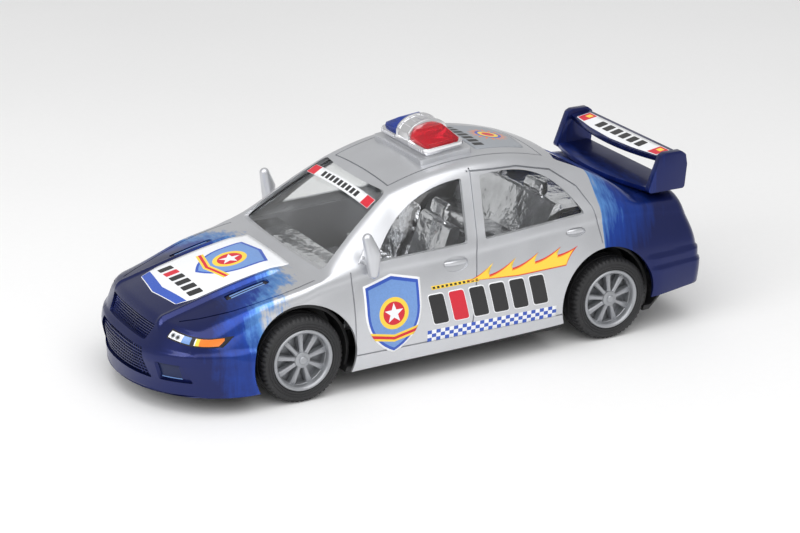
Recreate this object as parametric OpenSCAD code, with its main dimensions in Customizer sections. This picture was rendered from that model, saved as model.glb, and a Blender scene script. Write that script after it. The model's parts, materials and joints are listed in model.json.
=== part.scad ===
// Friction toy police saloon: moulded body, clear windows, cabin, light bar, spoiler,
// chassis, wheels on steel axles and a flywheel motor geared to the rear axle.
// Nose towards +X, left side towards +Y, wheels on the ground at Z = 0.

/* [Overall] */
// Length from nose to tail
body_length = 241; // [234:1:250]
// Width over the doors
body_width = 93; // [90:0.5:97]
// Distance between the axles
wheelbase = 138; // [134:1:142]
// Nose to front axle
front_overhang = 57.5; // [55:0.5:60]
// Wall of the body shell
wall = 1.6; // [1.2:0.1:2]
// Wall across the nose and tail
end_wall = 3; // [2:0.1:4]
// Depth of the panel lines
recess_depth = 0.8; // [0.4:0.1:1]
// Depth of the grilles and lamps in the nose and tail
grille_depth = 1.7; // [1:0.1:2.2]
// Width of the panel lines
line_width = 0.7; // [0.5:0.1:1]
// Running room between the fixed mouldings
shell_gap = 0.3; // [0.2:0.05:0.5]

/* [Side profile] */
// Nose to windscreen base
hood_length = 66.5; // [62:0.5:70]
// Windscreen base to roof edge, along the car
windscreen_run = 36; // [32:0.5:40]
// Length of the roof
roof_run = 76; // [72:0.5:80]
// Roof edge to boot lid, along the car
rear_window_run = 34; // [30:0.5:38]
// Height of the bonnet's front edge
hood_front_z = 35; // [33:0.5:37]
// Height of the windscreen base
cowl_z = 48; // [46:0.5:50]
// Height of the roof's front edge
roof_front_z = 73.5; // [71:0.5:76]
// Height of the roof's rear edge
roof_rear_z = 75.5; // [73:0.5:78]
// Height of the boot lid at the rear window
deck_z = 56.5; // [54:0.5:58]
// Height of the boot lid's rear edge
tail_z = 55; // [53:0.5:57]
// Arch of the bonnet over its chord
hood_rise = 1.5; // [0.5:0.1:3]
// Arch of the windscreen over its chord
windscreen_rise = 1; // [0:0.1:2]
// Arch of the roof over its chord
roof_rise = 7; // [5:0.5:9]
// Arch of the rear window over its chord
rear_window_rise = 1.5; // [0.5:0.1:3]

/* [Front and rear plan] */
// How far the nose sweeps back at full width
nose_sweep = 44; // [38:1:48]
// Squareness of the bonnet edge in plan, 2 is an ellipse
hood_squareness = 3; // [2:0.1:4]
// How far the bonnet edge stands behind the bumper
nose_lean = 6.2; // [4:0.2:8]
// Height where the nose starts to lean
nose_lean_z = 20; // [16:1:24]
// How far the tail sweeps forward at full width
tail_sweep = 3; // [1:0.5:5]
// How far the boot edge stands ahead of the rear bumper
tail_lean = 6; // [4:0.2:8]
// Height where the tail starts to lean
tail_lean_z = 32; // [28:1:36]
// Edge radius round the nose
nose_fillet = 3; // [2:0.5:4]
// Edge radius round the tail
tail_fillet = 4; // [2:0.5:5]

/* [Cross section] */
// Width along the lower edge of the doors
sill_width = 90; // [87:0.5:92]
// Height of the lower edge at the nose
nose_bottom_z = 8; // [7:0.5:10]
// Height of the lower edge ahead of the doors
sill_front_z = 9.3; // [8.5:0.1:11]
// Height of the lower edge behind the doors
sill_rear_z = 11.5; // [10:0.1:13]
// Height of the lower edge at the tail
tail_bottom_z = 17; // [15:0.5:19]
// Width over the tail
tail_width = 85; // [82:0.5:88]
// Width along the shoulder at the doors
shoulder_width = 86; // [84:0.5:88]
// Width along the shoulder at the tail
tail_shoulder_width = 77; // [74:0.5:80]
// Width along the shoulder at the nose
nose_shoulder_width = 81; // [78:0.5:84]
// Shoulder height at the nose
nose_shoulder_z = 32.5; // [31:0.5:34]
// Shoulder height over the front wheels
fender_z = 44.5; // [43:0.5:46]
// Belt height at the windscreen base
belt_front_z = 47; // [46:0.5:48]
// Belt height between the doors
belt_mid_z = 51; // [50:0.5:53]
// Belt height at the rear pillar
belt_rear_z = 54; // [53:0.5:56]
// Shoulder height at the tail
tail_shoulder_z = 50; // [48:0.5:52]
// Radius of the shoulder
shoulder_radius = 4; // [2:0.5:5]
// Width between the roof rails at the windscreen
roof_front_width = 57; // [54:0.5:60]
// Width between the roof rails at the rear window
roof_rear_width = 55; // [52:0.5:58]
// Width of the windscreen base
cowl_width = 78; // [75:0.5:80]
// Width of the bonnet at the nose
hood_front_width = 62; // [58:0.5:66]
// Width of the boot lid
deck_width = 66; // [62:0.5:68]
// Radius of the roof rails
rail_radius = 4; // [2:0.5:5]
// Width of the raised bonnet panel and of the roof panel
panel_width = 45; // [42:0.5:48]
// Height of the raised bonnet panel
panel_rise = 0.8; // [0.4:0.1:1.2]

/* [Windows and doors] */
// Windscreen base to front corner of the front side window
window_setback = 22.5; // [20:0.5:26]
// Windscreen base to pillar between the doors
pillar_setback = 67; // [64:0.5:70]
// Width of that pillar
pillar_width = 8; // [6:0.5:10]
// How far the pillar's top stands behind its foot
pillar_lean = 3; // [0:0.5:5]
// Windscreen base to rear corner of the rear side window
window_end_setback = 117; // [113:0.5:120]
// Height of the top of the side windows
window_top_z = 74.8; // [73:0.1:76]
// Window edge above the shoulder line
window_sill = 0.8; // [0:0.1:2]
// Width of the frame round the windscreen and rear window
screen_frame = 2.8; // [2:0.1:4]
// Windscreen base to front edge of the front door
door_setback = 12; // [10:0.5:14]
// Height of the crease along the sill
sill_line_z = 16; // [14:0.5:19]
// Length of a door handle recess
handle_length = 11; // [9:0.5:13]
// Height of a door handle recess
handle_height = 6; // [4:0.5:7]
// Thickness of the clear windows
glass = 1; // [0.8:0.1:1.4]

/* [Grilles and lamps] */
// Upper grille: half width at its foot and top, height of its foot and top
upper_grille = [17.5, 20.4, 26.8, 33.2];
// Lower grille: half width at its foot and top, height of its foot and top
lower_grille = [23.4, 19, 13.4, 24.6];
// Inner end of a headlamp from the middle of the car
headlamp_inner = 28; // [26:0.5:30]
// Outer end of a headlamp from the side of the car
headlamp_margin = 4.1; // [3:0.1:6]
// Height of a headlamp
headlamp_height = 3.4; // [2.6:0.1:4.4]
// Lower edge of a headlamp below the bonnet edge, at its inner end
headlamp_drop = 4.6; // [4:0.1:6]
// Inner end of a fog lamp from the middle of the car
fog_inner = 26.5; // [25:0.5:29]
// Outer end of a fog lamp from the side of the car
fog_margin = 8.9; // [8:0.1:11]
// Height of a fog lamp
fog_height = 7.4; // [5:0.1:9]
// Lower edge of a fog lamp above the nose's lower edge
fog_lift = 5.8; // [4:0.1:7]
// Length of a bonnet vent
vent_length = 18; // [14:0.5:20]
// Width of a bonnet vent
vent_width = 3.6; // [2.6:0.1:4.4]
// Inner end of a tail lamp from the middle of the car
tail_lamp_inner = 22; // [18:0.5:25]
// Width of a tail lamp
tail_lamp_width = 13; // [10:0.5:15]

/* [Wheels] */
// Outer radius of the tyres
tyre_radius = 17.2; // [16.4:0.1:17.6]
// Width of the tyres
tyre_width = 13; // [11:0.5:14]
// Distance over the outer faces of the tyres
track_width = 88; // [86:0.5:89]
// Radius where the tyre sits on the rim
rim_radius = 12.4; // [11.5:0.1:13]
// Wall of the rim
rim_wall = 1.5; // [1.2:0.1:2]
// Number of spokes
spokes = 9; // [6:1:10]
// Width of a spoke
spoke_width = 1.7; // [1.2:0.1:2.2]
// Radius of the hub
hub_radius = 3.2; // [2.8:0.1:3.8]
// Thickness of the spoke disc
disc_thickness = 2.4; // [2:0.1:3]
// How far the spoke disc is sunk below the tyre's face
disc_sink = 2; // [1:0.1:3]
// Radius of the axles
axle_radius = 1.25; // [1:0.05:1.5]
// Play of a turning axle or shaft in its bore
running_play = 0.06; // [0.03:0.01:0.1]
// Play of a pressed fit
press_play = 0.02; // [0.01:0.01:0.04]
// Radius of the wheel arches
arch_radius = 21.5; // [20.8:0.1:22.5]
// Front arch centre above the axle
front_arch_lift = 0.8; // [0:0.1:2]
// Rear arch centre above the axle
rear_arch_lift = 1.8; // [0:0.1:3]
// Rear arch centre ahead of the axle
rear_arch_lead = 3; // [0:0.1:3.2]

/* [Chassis] */
// Ground clearance under the chassis
chassis_z = 8.6; // [8.2:0.1:9.4]
// Thickness of the chassis plate
plate = 2; // [1.6:0.1:2.6]
// Room between chassis and body side
chassis_gap = 0.8; // [0.5:0.1:1.2]
// Height of the raised rear end of the chassis
chassis_tail_z = 17.4; // [16:0.1:18.5]
// Wall of the wheel wells
well_wall = 1.2; // [1:0.1:1.6]
// Inner faces of the wheel wells, from the middle
well_inner_y = 28.2; // [27:0.1:29]
// Outer edge of a wheel well behind the tyre's face
well_recess = 4; // [3:0.1:5]
// Room between tyre and wheel well
well_gap = 2.8; // [2.2:0.1:3.2]
// Wall of an axle bearing
bearing_wall = 2.2; // [1.6:0.1:2.6]
// Radius of the posts under the cabin
post_radius = 2.6; // [2:0.1:3.2]
// Radius of the screw bosses
boss_radius = 3.4; // [3:0.1:4]
// Radius of a screw's thread
screw_radius = 1.2; // [1:0.05:1.4]
// Radius of a screw's head
screw_head_radius = 2.4; // [2.1:0.1:2.8]
// Height of a screw's head
screw_head = 1.4; // [1:0.1:1.6]
// Length of a screw below its head
screw_length = 10; // [8:0.5:12]

/* [Motor] */
// Gear module
gear_module = 0.6; // [0.55:0.01:0.65]
// Teeth on each large gear
gear_teeth = 26; // [24:1:26]
// Teeth on each pinion
pinion_teeth = 10; // [10:1:12]
// Pressure angle of the teeth
pressure_angle = 25; // [22:1:27]
// Play between meshing teeth
backlash = 0.16; // [0.12:0.01:0.24]
// Width of the large gears
gear_width = 2; // [1.6:0.1:2.2]
// Gap between neighbouring gear layers
layer_gap = 0.6; // [0.4:0.1:0.8]
// Radius of the gear shafts
shaft_radius = 0.8; // [0.7:0.05:1]
// Radius of the flywheel
flywheel_radius = 9.4; // [8:0.1:9.4]
// Width of the flywheel
flywheel_width = 6.2; // [5:0.1:7]
// Wall of the motor case
case_wall = 1.5; // [1.2:0.1:1.8]
// Room between the gears and the case
case_gap = 0.8; // [0.6:0.1:1]

/* [Light bar] */
// Windscreen base to middle of the light bar
lightbar_setback = 66; // [62:0.5:70]
// Length of the light bar across the car
lightbar_length = 38; // [34:0.5:42]
// Depth of the light bar along the car
lightbar_depth = 18; // [16:0.5:20]
// Height of the light bar
lightbar_height = 10; // [9:0.5:11]
// Length of the centre arch
arch_length = 10; // [8:0.5:12]
// Height of the raised pad on the roof
pad_rise = 0.7; // [0.4:0.1:1]
// Radius of the mounting pegs
peg_radius = 1.6; // [1.3:0.1:2]
// Play of a mounting peg in its hole
peg_play = 0.2; // [0.1:0.05:0.3]

/* [Spoiler] */
// Span between the outer faces of the end plates
spoiler_span = 74; // [70:0.5:76]
// Thickness of an end plate
endplate = 3; // [2:0.1:4]
// Height of the end plates
endplate_height = 16; // [13:0.5:18]
// Rear edge of the blade behind the boot's front edge
spoiler_reach = 20; // [18:0.5:21]
// Depth of the blade in the middle
blade_depth = 12.4; // [10:0.2:14]
// Thickness of the blade
blade = 2.2; // [1.8:0.1:2.8]
// How far the blade bows forward in the middle
blade_bow = 4.4; // [2:0.2:6]
// Tilt of the blade
blade_tilt = 9; // [4:1:14]
// Depth of the lower plate in the middle
foot_depth = 20.5; // [18:0.5:21]
// How far the lower plate bows forward in the middle
foot_bow = 5.5; // [4:0.1:7]
// Thickness of the lower plate
foot_plate = 1.8; // [1.4:0.1:2.4]

/* [Cabin] */
// Height of the cabin floor
cabin_floor_z = 22; // [20:0.5:24]
// Half width of the cabin moulding
cabin_half = 34; // [32:0.5:35]
// Wall of the cabin moulding
cabin_wall = 1.6; // [1.2:0.1:2]
// Width of a front seat
seat_width = 24; // [20:0.5:26]
// Middle of a front seat from the middle of the car
seat_y = 16; // [15:0.5:18]
// Radius of the steering wheel
wheel_rim_radius = 6.5; // [5.5:0.1:7.5]

/* [Mirrors] */
// Height of a mirror head
mirror_height = 16; // [13:0.5:18]
// Mirror outer face from the middle of the car
mirror_half = 49; // [48:0.5:50]

/* [Hidden] */
$fn = 48;

// Overlap that makes a cut go right through
bite = 0.5;

// Places along the car
nose_x = body_length / 2;
tail_x = -body_length / 2;
front_axle_x = nose_x - front_overhang;
rear_axle_x = front_axle_x - wheelbase;
cowl_x = nose_x - hood_length;
roof_front_x = cowl_x - windscreen_run;
roof_rear_x = roof_front_x - roof_run;
deck_front_x = roof_rear_x - rear_window_run;
break_x = [nose_x, cowl_x, roof_front_x, roof_rear_x, deck_front_x, tail_x];
window_front_x = cowl_x - window_setback;
window_rear_x = cowl_x - window_end_setback;
pillar_x = cowl_x - pillar_setback;
door_front_x = cowl_x - door_setback;
lightbar_x = cowl_x - lightbar_setback;

// Wheels and chassis
axle_z = tyre_radius;
tyre_inner_y = track_width / 2 - tyre_width;
plate_top = chassis_z + plate;
front_well_radius = tyre_radius + well_gap;
rear_well_radius = tyre_radius + rear_arch_lead + well_gap / 2;
rear_well_x = rear_axle_x + rear_arch_lead;
well_outer_y = track_width / 2 - well_recess;
boss_pad = 1.6;
head_sink = 0.1;
front_screw = [front_axle_x + 30, 22, chassis_z];
rear_screw = [tail_x + 9, 24, chassis_tail_z];
hub_gap = 0.5;

// Gear train of the motor, as [x, z] centres and layers along Y
stage = gear_module * (gear_teeth + pinion_teeth) / 2;
motor_angles = [35, 0, -15];
axle_at = [rear_axle_x, axle_z];
first_at = axle_at + stage * [cos(motor_angles[0]), sin(motor_angles[0])];
second_at = first_at + stage * [cos(motor_angles[1]), sin(motor_angles[1])];
flywheel_at = second_at + stage * [cos(motor_angles[2]), sin(motor_angles[2])];
addendum = 0.9 * gear_module;
dedendum = 1.15 * gear_module;
gear_tip = gear_module * gear_teeth / 2 + addendum;
layer = gear_width + layer_gap;
cavity_half = case_gap + (3 * layer + flywheel_width) / 2;
layer_y = [for (i = [0 : 3]) -cavity_half + case_gap + i * layer];
case_half = cavity_half + case_wall;
motor_top_z = max(first_at.y, second_at.y) + gear_tip + case_gap + case_wall;
motor_front_x = flywheel_at.x + flywheel_radius + case_gap + case_wall;
lug = 7;
lug_height = 2;

// Curves

function lerp(a, b, t) = a + (b - a) * t;

function ramp(t) = min(1, max(0, t));

function smooth(t) = let (u = ramp(t)) u * u * (3 - 2 * u);

function arch(t, a, b, rise) = lerp(a, b, t) + 4 * rise * t * (1 - t);

function bend(p, q, r, t) = lerp(lerp(p, q, t), lerp(q, r, t), t);

function polar(r, a) = [r * cos(a), r * sin(a)];

function panel_of(x, i = 0) = i >= len(break_x) - 2 || x >= break_x[i + 1] ? i : panel_of(x, i + 1);

// Value along the car: one arc for each panel from nose to tail
function along(x, ends, rises) =
    let (i = panel_of(x), t = (x - break_x[i]) / (break_x[i + 1] - break_x[i]))
    arch(t, ends[i], ends[i + 1], rises[i]);

function span_of(k, x, i = 0) = i >= len(k) - 2 || x < k[i + 1][0] ? i : span_of(k, x, i + 1);

function slope(k, i) =
    let (a = max(i - 1, 0), b = min(i + 1, len(k) - 1))
    (k[b][1] - k[a][1]) / (k[b][0] - k[a][0]);

// Smooth curve through [x, value] knots
function curve(k, x) =
    let (
        i = span_of(k, x),
        h = k[i + 1][0] - k[i][0],
        t = ramp((x - k[i][0]) / h),
        a = k[i][1],
        b = k[i + 1][1],
        rise_in = slope(k, i) * h,
        rise_out = slope(k, i + 1) * h
    )
    a + t * (rise_in + t * (3 * (b - a) - 2 * rise_in - rise_out + t * (2 * (a - b) + rise_in + rise_out)));

// Lines of the body

function crown_z(x) = along(
    x,
    [hood_front_z, cowl_z, roof_front_z, roof_rear_z, deck_z, tail_z],
    [hood_rise, windscreen_rise, roof_rise, rear_window_rise, 0.5]
);

function edge_half(x) = along(
    x,
    [hood_front_width, cowl_width, roof_front_width, roof_rear_width, deck_width, deck_width] / 2,
    [1, 0.5, 1.5, 0, 0]
);

function edge_drop(x) = along(x, [0.8, 1.6, 1.6, 2.4, 1.2, 0.8], [0.8, 0, 0.8, 0, 0]);

function bottom_z(x) = curve([
    [tail_x, tail_bottom_z],
    [rear_axle_x - 17, tail_bottom_z - 1.5],
    [rear_axle_x + 25, sill_rear_z],
    [front_axle_x - 21, sill_front_z],
    [front_axle_x + 23, nose_bottom_z],
    [nose_x, nose_bottom_z]
], x);

function bottom_half(x) = curve([
    [tail_x, tail_width / 2 - 1.5],
    [deck_front_x, sill_width / 2],
    [nose_x, sill_width / 2]
], x);

function side_half(x) = curve([
    [tail_x, tail_width / 2],
    [deck_front_x, body_width / 2 - 0.5],
    [roof_rear_x, body_width / 2],
    [front_axle_x, body_width / 2],
    [nose_x, body_width / 2 - 0.4]
], x);

function shoulder_half(x) = curve([
    [tail_x, tail_shoulder_width / 2],
    [deck_front_x, shoulder_width / 2 - 2],
    [roof_rear_x, shoulder_width / 2 - 0.5],
    [roof_front_x, shoulder_width / 2],
    [cowl_x, shoulder_width / 2 - 0.5],
    [nose_x, nose_shoulder_width / 2]
], x);

function shoulder_z(x) = curve([
    [tail_x, tail_shoulder_z],
    [deck_front_x, belt_rear_z - 0.5],
    [roof_rear_x, belt_rear_z],
    [roof_front_x - 28, belt_mid_z],
    [roof_front_x + 12, belt_mid_z - 1],
    [cowl_x, belt_front_z],
    [front_axle_x, fender_z],
    [nose_x - 30, fender_z - 3.5],
    [nose_x, nose_shoulder_z]
], x);

function panel_lift(x) = panel_rise * smooth((x - cowl_x - 4) / 8);

// Nose and tail bend the straight sections to their plan and side shape
sweep_half = body_width / 2 + 0.3;

// The bumper is nearly an ellipse in plan, and the bonnet edge above it is squarer
function nose_power(z) =
    lerp(2.1, hood_squareness, smooth((z - nose_bottom_z) / (hood_front_z - nose_bottom_z)));

function nose_plan(y, z) =
    let (n = nose_power(z))
    nose_sweep * (1 - pow(1 - min(1, pow(abs(y) / sweep_half, n)), 1 / n));

function tail_plan(y) = tail_sweep * pow(y / sweep_half, 2);

function nose_back(z) = nose_lean * smooth((z - nose_lean_z) / (hood_front_z - nose_lean_z));

function tail_back(z) = tail_lean * smooth((z - tail_lean_z) / (tail_z - tail_lean_z));

tail_blend_x = deck_front_x + 12;

function warp(p) =
    let (
        front = smooth((p.x - cowl_x) / (nose_x - cowl_x)),
        back = smooth((tail_blend_x - p.x) / (tail_blend_x - tail_x))
    )
    [
        p.x - front * (nose_plan(p.y, p.z) + nose_back(p.z)) + back * (tail_plan(p.y) + tail_back(p.z)),
        p.y,
        p.z
    ];

// Half cross sections, d is the depth below the outer skin

side_steps = [0, 0.05, 0.28, 0.52, 0.76, 1];
side_rows = len(side_steps) + 1;
top_half_columns = 10;
top_columns = 2 * top_half_columns;

function shoulder_corner(x, d, n) = [shoulder_half(x) - d, shoulder_z(x) - d * n.y / (1 + n.x)];

function edge_corner(x, d, n) = [edge_half(x) - d * n.x / (1 + n.y), crown_z(x) - edge_drop(x) - d];

function window_normal(x) =
    let (
        run = [edge_half(x) - shoulder_half(x), crown_z(x) - edge_drop(x) - shoulder_z(x)],
        long = norm(run)
    )
    [run.y, -run.x] / long;

function toward(a, b, r) = a + (b - a) * min(0.45, r / norm(b - a));

function side_points(x, d, foot) =
    let (
        n = window_normal(x),
        a = [bottom_half(x) - d, bottom_z(x) - foot],
        c = shoulder_corner(x, d, n),
        e = edge_corner(x, d, n),
        p = toward(c, a, shoulder_radius),
        r = toward(c, e, shoulder_radius),
        bulge = side_half(x) - d - (a.x + p.x) / 2
    )
    concat(
        [for (t = side_steps) [arch(t, a.x, p.x, bulge), lerp(a.y, p.y, t)]],
        [bend(p, c, r, 0.25), bend(p, c, r, 0.5)]
    );

function crown_at(x, d, y, e) =
    let (mid = crown_z(x) - d, lift = y < panel_width / 2 ? panel_lift(x) : 0)
    [y, lerp(mid, e.y, pow(y / e.x, 2)) + lift];

function top_points(x, d) =
    let (
        n = window_normal(x),
        a = [bottom_half(x) - d, bottom_z(x)],
        c = shoulder_corner(x, d, n),
        e = edge_corner(x, d, n),
        p = toward(c, a, shoulder_radius),
        r = toward(c, e, shoulder_radius),
        u = toward(e, c, rail_radius),
        v = crown_at(x, d, e.x - min(rail_radius, 0.1 * e.x), e),
        out = panel_width / 2 + 0.4,
        in = panel_width / 2 - 0.4
    )
    concat(
        [bend(p, c, r, 0.5), r, lerp(r, u, 0.5), u],
        [bend(u, e, v, 0.5), v],
        [for (y = [out, in, in * 0.66, in * 0.33, 0]) crown_at(x, d, y, e)]
    );

// One ring: up the left side, across the top, down the right side, back along the bottom
function ring(x, d, foot) =
    let (
        s = side_points(x, d, foot),
        t = top_points(x, d),
        top = concat(t, [for (i = [top_half_columns - 1 : -1 : 0]) [-t[i].x, t[i].y]]),
        right = [for (i = [side_rows - 1 : -1 : 0]) [-s[i].x, s[i].y]],
        floor = [for (i = [top_columns - 1 : -1 : 1]) [(1 - 2 * i / top_columns) * s[0].x, s[0].y]]
    )
    [for (q = concat([for (i = [0 : side_rows - 1]) s[i]], top, right, floor)) warp([x, q.x, q.y])];

ring_size = 2 * side_rows + 2 * top_columns;

// Point inside an end cap, r rows up and c columns across
function cap_point(x, d, foot, r, c) =
    let (
        s = side_points(x, d, foot),
        t = top_points(x, d),
        k = min(c, top_columns - c),
        top = [(c > top_half_columns ? -1 : 1) * t[k].x, t[k].y],
        rise = (s[r].y - s[0].y) / (s[side_rows].y - s[0].y)
    )
    warp([x, top.x * s[r].x / s[side_rows].x, s[r].y + (top.y - t[0].y) * rise]);

function grid_index(r, c) =
    c == 0 ? r :
    r == side_rows ? side_rows + c :
    c == top_columns ? 2 * side_rows + top_columns - r :
    r == 0 ? 2 * side_rows + 2 * top_columns - c :
    ring_size + (r - 1) * (top_columns - 1) + c - 1;

cap_size = (side_rows - 1) * (top_columns - 1);

function cap_faces(ring_start, cap_start, flip) = [
    for (r = [0 : side_rows - 1], c = [0 : top_columns - 1])
        let (
            g = [grid_index(r, c), grid_index(r, c + 1), grid_index(r + 1, c + 1), grid_index(r + 1, c)],
            q = [for (i = g) i < ring_size ? ring_start + i : cap_start + i - ring_size]
        )
        each flip ? [[q[0], q[2], q[1]], [q[0], q[3], q[2]]] : [[q[0], q[1], q[2]], [q[0], q[2], q[3]]]
];

fillet_angles = [0, 45, 90];

function end_stations(x, r, way, d, ends) = [
    for (a = fillet_angles) [x - way * (ends + r * (1 - sin(a))), d + r * (1 - cos(a))]
];

// Sections from nose to tail as [x, depth]; ends is the depth of the two end faces
function stations(d, ends, steps) = concat(
    [for (s = [len(fillet_angles) - 1 : -1 : 0]) end_stations(nose_x, nose_fillet, 1, d, ends)[s]],
    [
        for (i = [0 : len(steps) - 1], k = [(i == 0 ? 1 : 0) : steps[i] - 1])
            [lerp(break_x[i], break_x[i + 1], k / steps[i]), d]
    ],
    end_stations(tail_x, tail_fillet, -1, d, ends)
);

outer_steps = [7, 4, 5, 4, 2];
inner_steps = [4, 2, 3, 2, 1];
glass_steps = [1, 2, 3, 2, 1];

// The whole body as one closed form, d below the skin; foot lowers its lower edge
module body_form(d, ends, foot = 0, steps = outer_steps) {
    list = stations(d, ends, steps);
    n = len(list);
    rings = [for (s = list) each ring(s[0], s[1], foot)];
    caps = [
        for (s = [list[0], list[n - 1]], r = [1 : side_rows - 1], c = [1 : top_columns - 1])
            cap_point(s[0], s[1], foot, r, c)
    ];
    sides = [
        for (i = [0 : n - 2], j = [0 : ring_size - 1])
            let (
                k = (j + 1) % ring_size,
                a = i * ring_size + j,
                b = i * ring_size + k,
                e = (i + 1) * ring_size + k,
                f = (i + 1) * ring_size + j
            )
            each [[a, b, e], [a, e, f]]
    ];
    count = n * ring_size;
    faces = concat(
        sides,
        cap_faces(0, count, false),
        cap_faces((n - 1) * ring_size, count + cap_size, true)
    );
    polyhedron(concat(rings, caps), faces, convexity = 8);
}

// Helpers

// Outline in X and Z, drawn out from y0 to y1
module across(y0, y1) {
    translate([0, y1, 0])
    rotate([90, 0, 0])
    linear_extrude(y1 - y0)
    children();
}

// Outline in Y and Z, drawn out from x0 to x1
module lengthwise(x0, x1) {
    translate([x0, 0, 0])
    rotate([90, 0, 90])
    linear_extrude(x1 - x0)
    children();
}

module both_sides() {
    children();
    mirror([0, 1, 0]) children();
}

module rounded(r) {
    offset(r, $fn = 12)
    offset(delta = -r)
    children();
}

// Band of even width along a row of points
module stroke(points, width) {
    for (i = [0 : len(points) - 2])
        hull() {
            translate(points[i]) circle(d = width, $fn = 4);
            translate(points[i + 1]) circle(d = width, $fn = 4);
        }
}

// Windows

function window_low(x) = shoulder_z(x) + window_sill;

function pillar_at(z) = pillar_x - pillar_lean * (z - belt_mid_z) / (window_top_z - belt_mid_z);

window_arc = [0 : 0.2 : 1];

module front_window() {
    front = [window_front_x, window_low(window_front_x)];
    top = [pillar_at(window_top_z) + pillar_width / 2, window_top_z];
    crest = [lerp(front.x, top.x, 0.43), window_top_z - 0.8];
    foot_x = pillar_at(belt_mid_z) + pillar_width / 2;
    rounded(1)
    polygon(concat([for (t = window_arc) bend(front, crest, top, t)], [[foot_x, window_low(foot_x)]]));
}

module rear_window() {
    top = [pillar_at(window_top_z) - pillar_width / 2, window_top_z];
    tip = [window_rear_x, window_low(window_rear_x)];
    crest = [lerp(top.x, tip.x, 0.75), window_top_z + 3.2];
    foot_x = pillar_at(belt_mid_z) - pillar_width / 2;
    rounded(1)
    polygon(concat([for (t = window_arc) bend(top, crest, tip, t)], [[foot_x, window_low(foot_x)]]));
}

module screen_outline(low_z, top_z, low_half, top_half) {
    rounded(2)
    polygon([[-low_half, low_z], [low_half, low_z], [top_half, top_z], [-top_half, top_z]]);
}

module window_openings() {
    both_sides()
    across(edge_half(pillar_x) - rail_radius - 4, body_width / 2 + bite) {
        front_window();
        rear_window();
    }
    lengthwise(roof_front_x - 8, cowl_x + 6)
    screen_outline(
        cowl_z + 1,
        roof_front_z - 1.2,
        cowl_width / 2 - screen_frame,
        roof_front_width / 2 - screen_frame
    );
    lengthwise(deck_front_x - 4, roof_rear_x + 8)
    screen_outline(
        deck_z + 2.6,
        roof_rear_z - 2,
        deck_width / 2 - screen_frame,
        roof_rear_width / 2 - screen_frame
    );
}

// Recesses in the skin

module door_lines() {
    both_sides()
    across(edge_half(pillar_x) - rail_radius - 4, body_width / 2 + bite) {
        stroke([
            [pillar_at(window_top_z + 3), window_top_z + 3],
            [pillar_at(sill_line_z), sill_line_z]
        ], line_width);
        stroke([[door_front_x, window_low(door_front_x) - 1], [door_front_x, sill_line_z]], line_width);
        stroke([
            [window_rear_x - 4, window_low(window_rear_x) + 3],
            [window_rear_x - 6, axle_z + arch_radius]
        ], line_width);
        stroke([
            [front_axle_x - arch_radius, sill_line_z],
            [rear_well_x + arch_radius, sill_line_z]
        ], line_width);
        for (x = [pillar_x + 10, window_rear_x + 5])
            translate([x, shoulder_z(x) - 5.5])
            scale([handle_length, handle_height])
            circle(d = 1, $fn = 16);
    }
}

module grille_outline(g) {
    rounded(1)
    polygon([[-g[0], g[2]], [g[0], g[2]], [g[1], g[3]], [-g[1], g[3]]]);
}

// Headlamp: its outer end drops and leans inwards
module headlamp_outline() {
    low_z = hood_front_z - headlamp_drop;
    end_y = body_width / 2 - headlamp_margin;
    end_drop = 2.1;
    lean = 0.8;
    rounded(0.8)
    polygon([
        [headlamp_inner, low_z],
        [end_y, low_z - end_drop],
        [end_y - lean, low_z - end_drop + headlamp_height],
        [headlamp_inner + lean, low_z + headlamp_height]
    ]);
}

module fog_outline() {
    low_z = nose_bottom_z + fog_lift;
    end_y = body_width / 2 - fog_margin;
    lean = 1.2;
    rounded(0.8)
    polygon([
        [fog_inner, low_z],
        [end_y, low_z],
        [end_y - lean, low_z + fog_height],
        [fog_inner, low_z + fog_height]
    ]);
}

module nose_recesses() {
    lengthwise(nose_x - nose_lean - 12, nose_x + bite) {
        grille_outline(upper_grille);
        grille_outline(lower_grille);
    }
    both_sides()
    lengthwise(front_axle_x + arch_radius + 2, nose_x + bite) {
        headlamp_outline();
        fog_outline();
    }
}

module top_recesses() {
    both_sides()
    translate([0, 0, fender_z - 12])
    linear_extrude(roof_front_z) {
        stroke([
            for (t = [0 : 0.2 : 1])
                bend(
                    [cowl_x + 1, cowl_width / 2 - 1],
                    [front_axle_x + 18, cowl_width / 2],
                    [nose_x - 14, hood_front_width / 2 - 3.5],
                    t
                )
        ], line_width);
        rounded(1)
        translate([front_axle_x + 6, panel_width / 2 + 2]) square([vent_length, vent_width]);
    }
    translate([roof_front_x - 4, -panel_width / 2, roof_front_z - 4])
    cube([line_width, panel_width, 8]);
}

module tail_recesses() {
    translate([tail_x - bite, -body_width / 2, tail_lean_z])
    cube([deck_front_x - tail_x + bite, body_width, line_width]);
    both_sides()
    lengthwise(tail_x - bite, deck_front_x - 10)
    tail_lamp_outline();
}

module tail_lamp_outline() {
    end_y = tail_lamp_inner + tail_lamp_width;
    rounded(1)
    polygon([
        [tail_lamp_inner, tail_lean_z + 6],
        [end_y, tail_lean_z + 7],
        [end_y, tail_shoulder_z - 3],
        [tail_lamp_inner, tail_shoulder_z - 2]
    ]);
}

// Body shell

module wheel_arches() {
    for (p = [
        [front_axle_x, axle_z + front_arch_lift],
        [rear_well_x, axle_z + rear_arch_lift]
    ])
        both_sides()
        across(well_inner_y, body_width / 2 + bite)
        translate(p)
        circle(arch_radius, $fn = 64);
}

lightbar_tilt = atan2(crown_z(lightbar_x - 5) - crown_z(lightbar_x + 5), 10);
lightbar_peg_y = 11;
pad_margin = 2.4;
roof_peg = 4;

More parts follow.
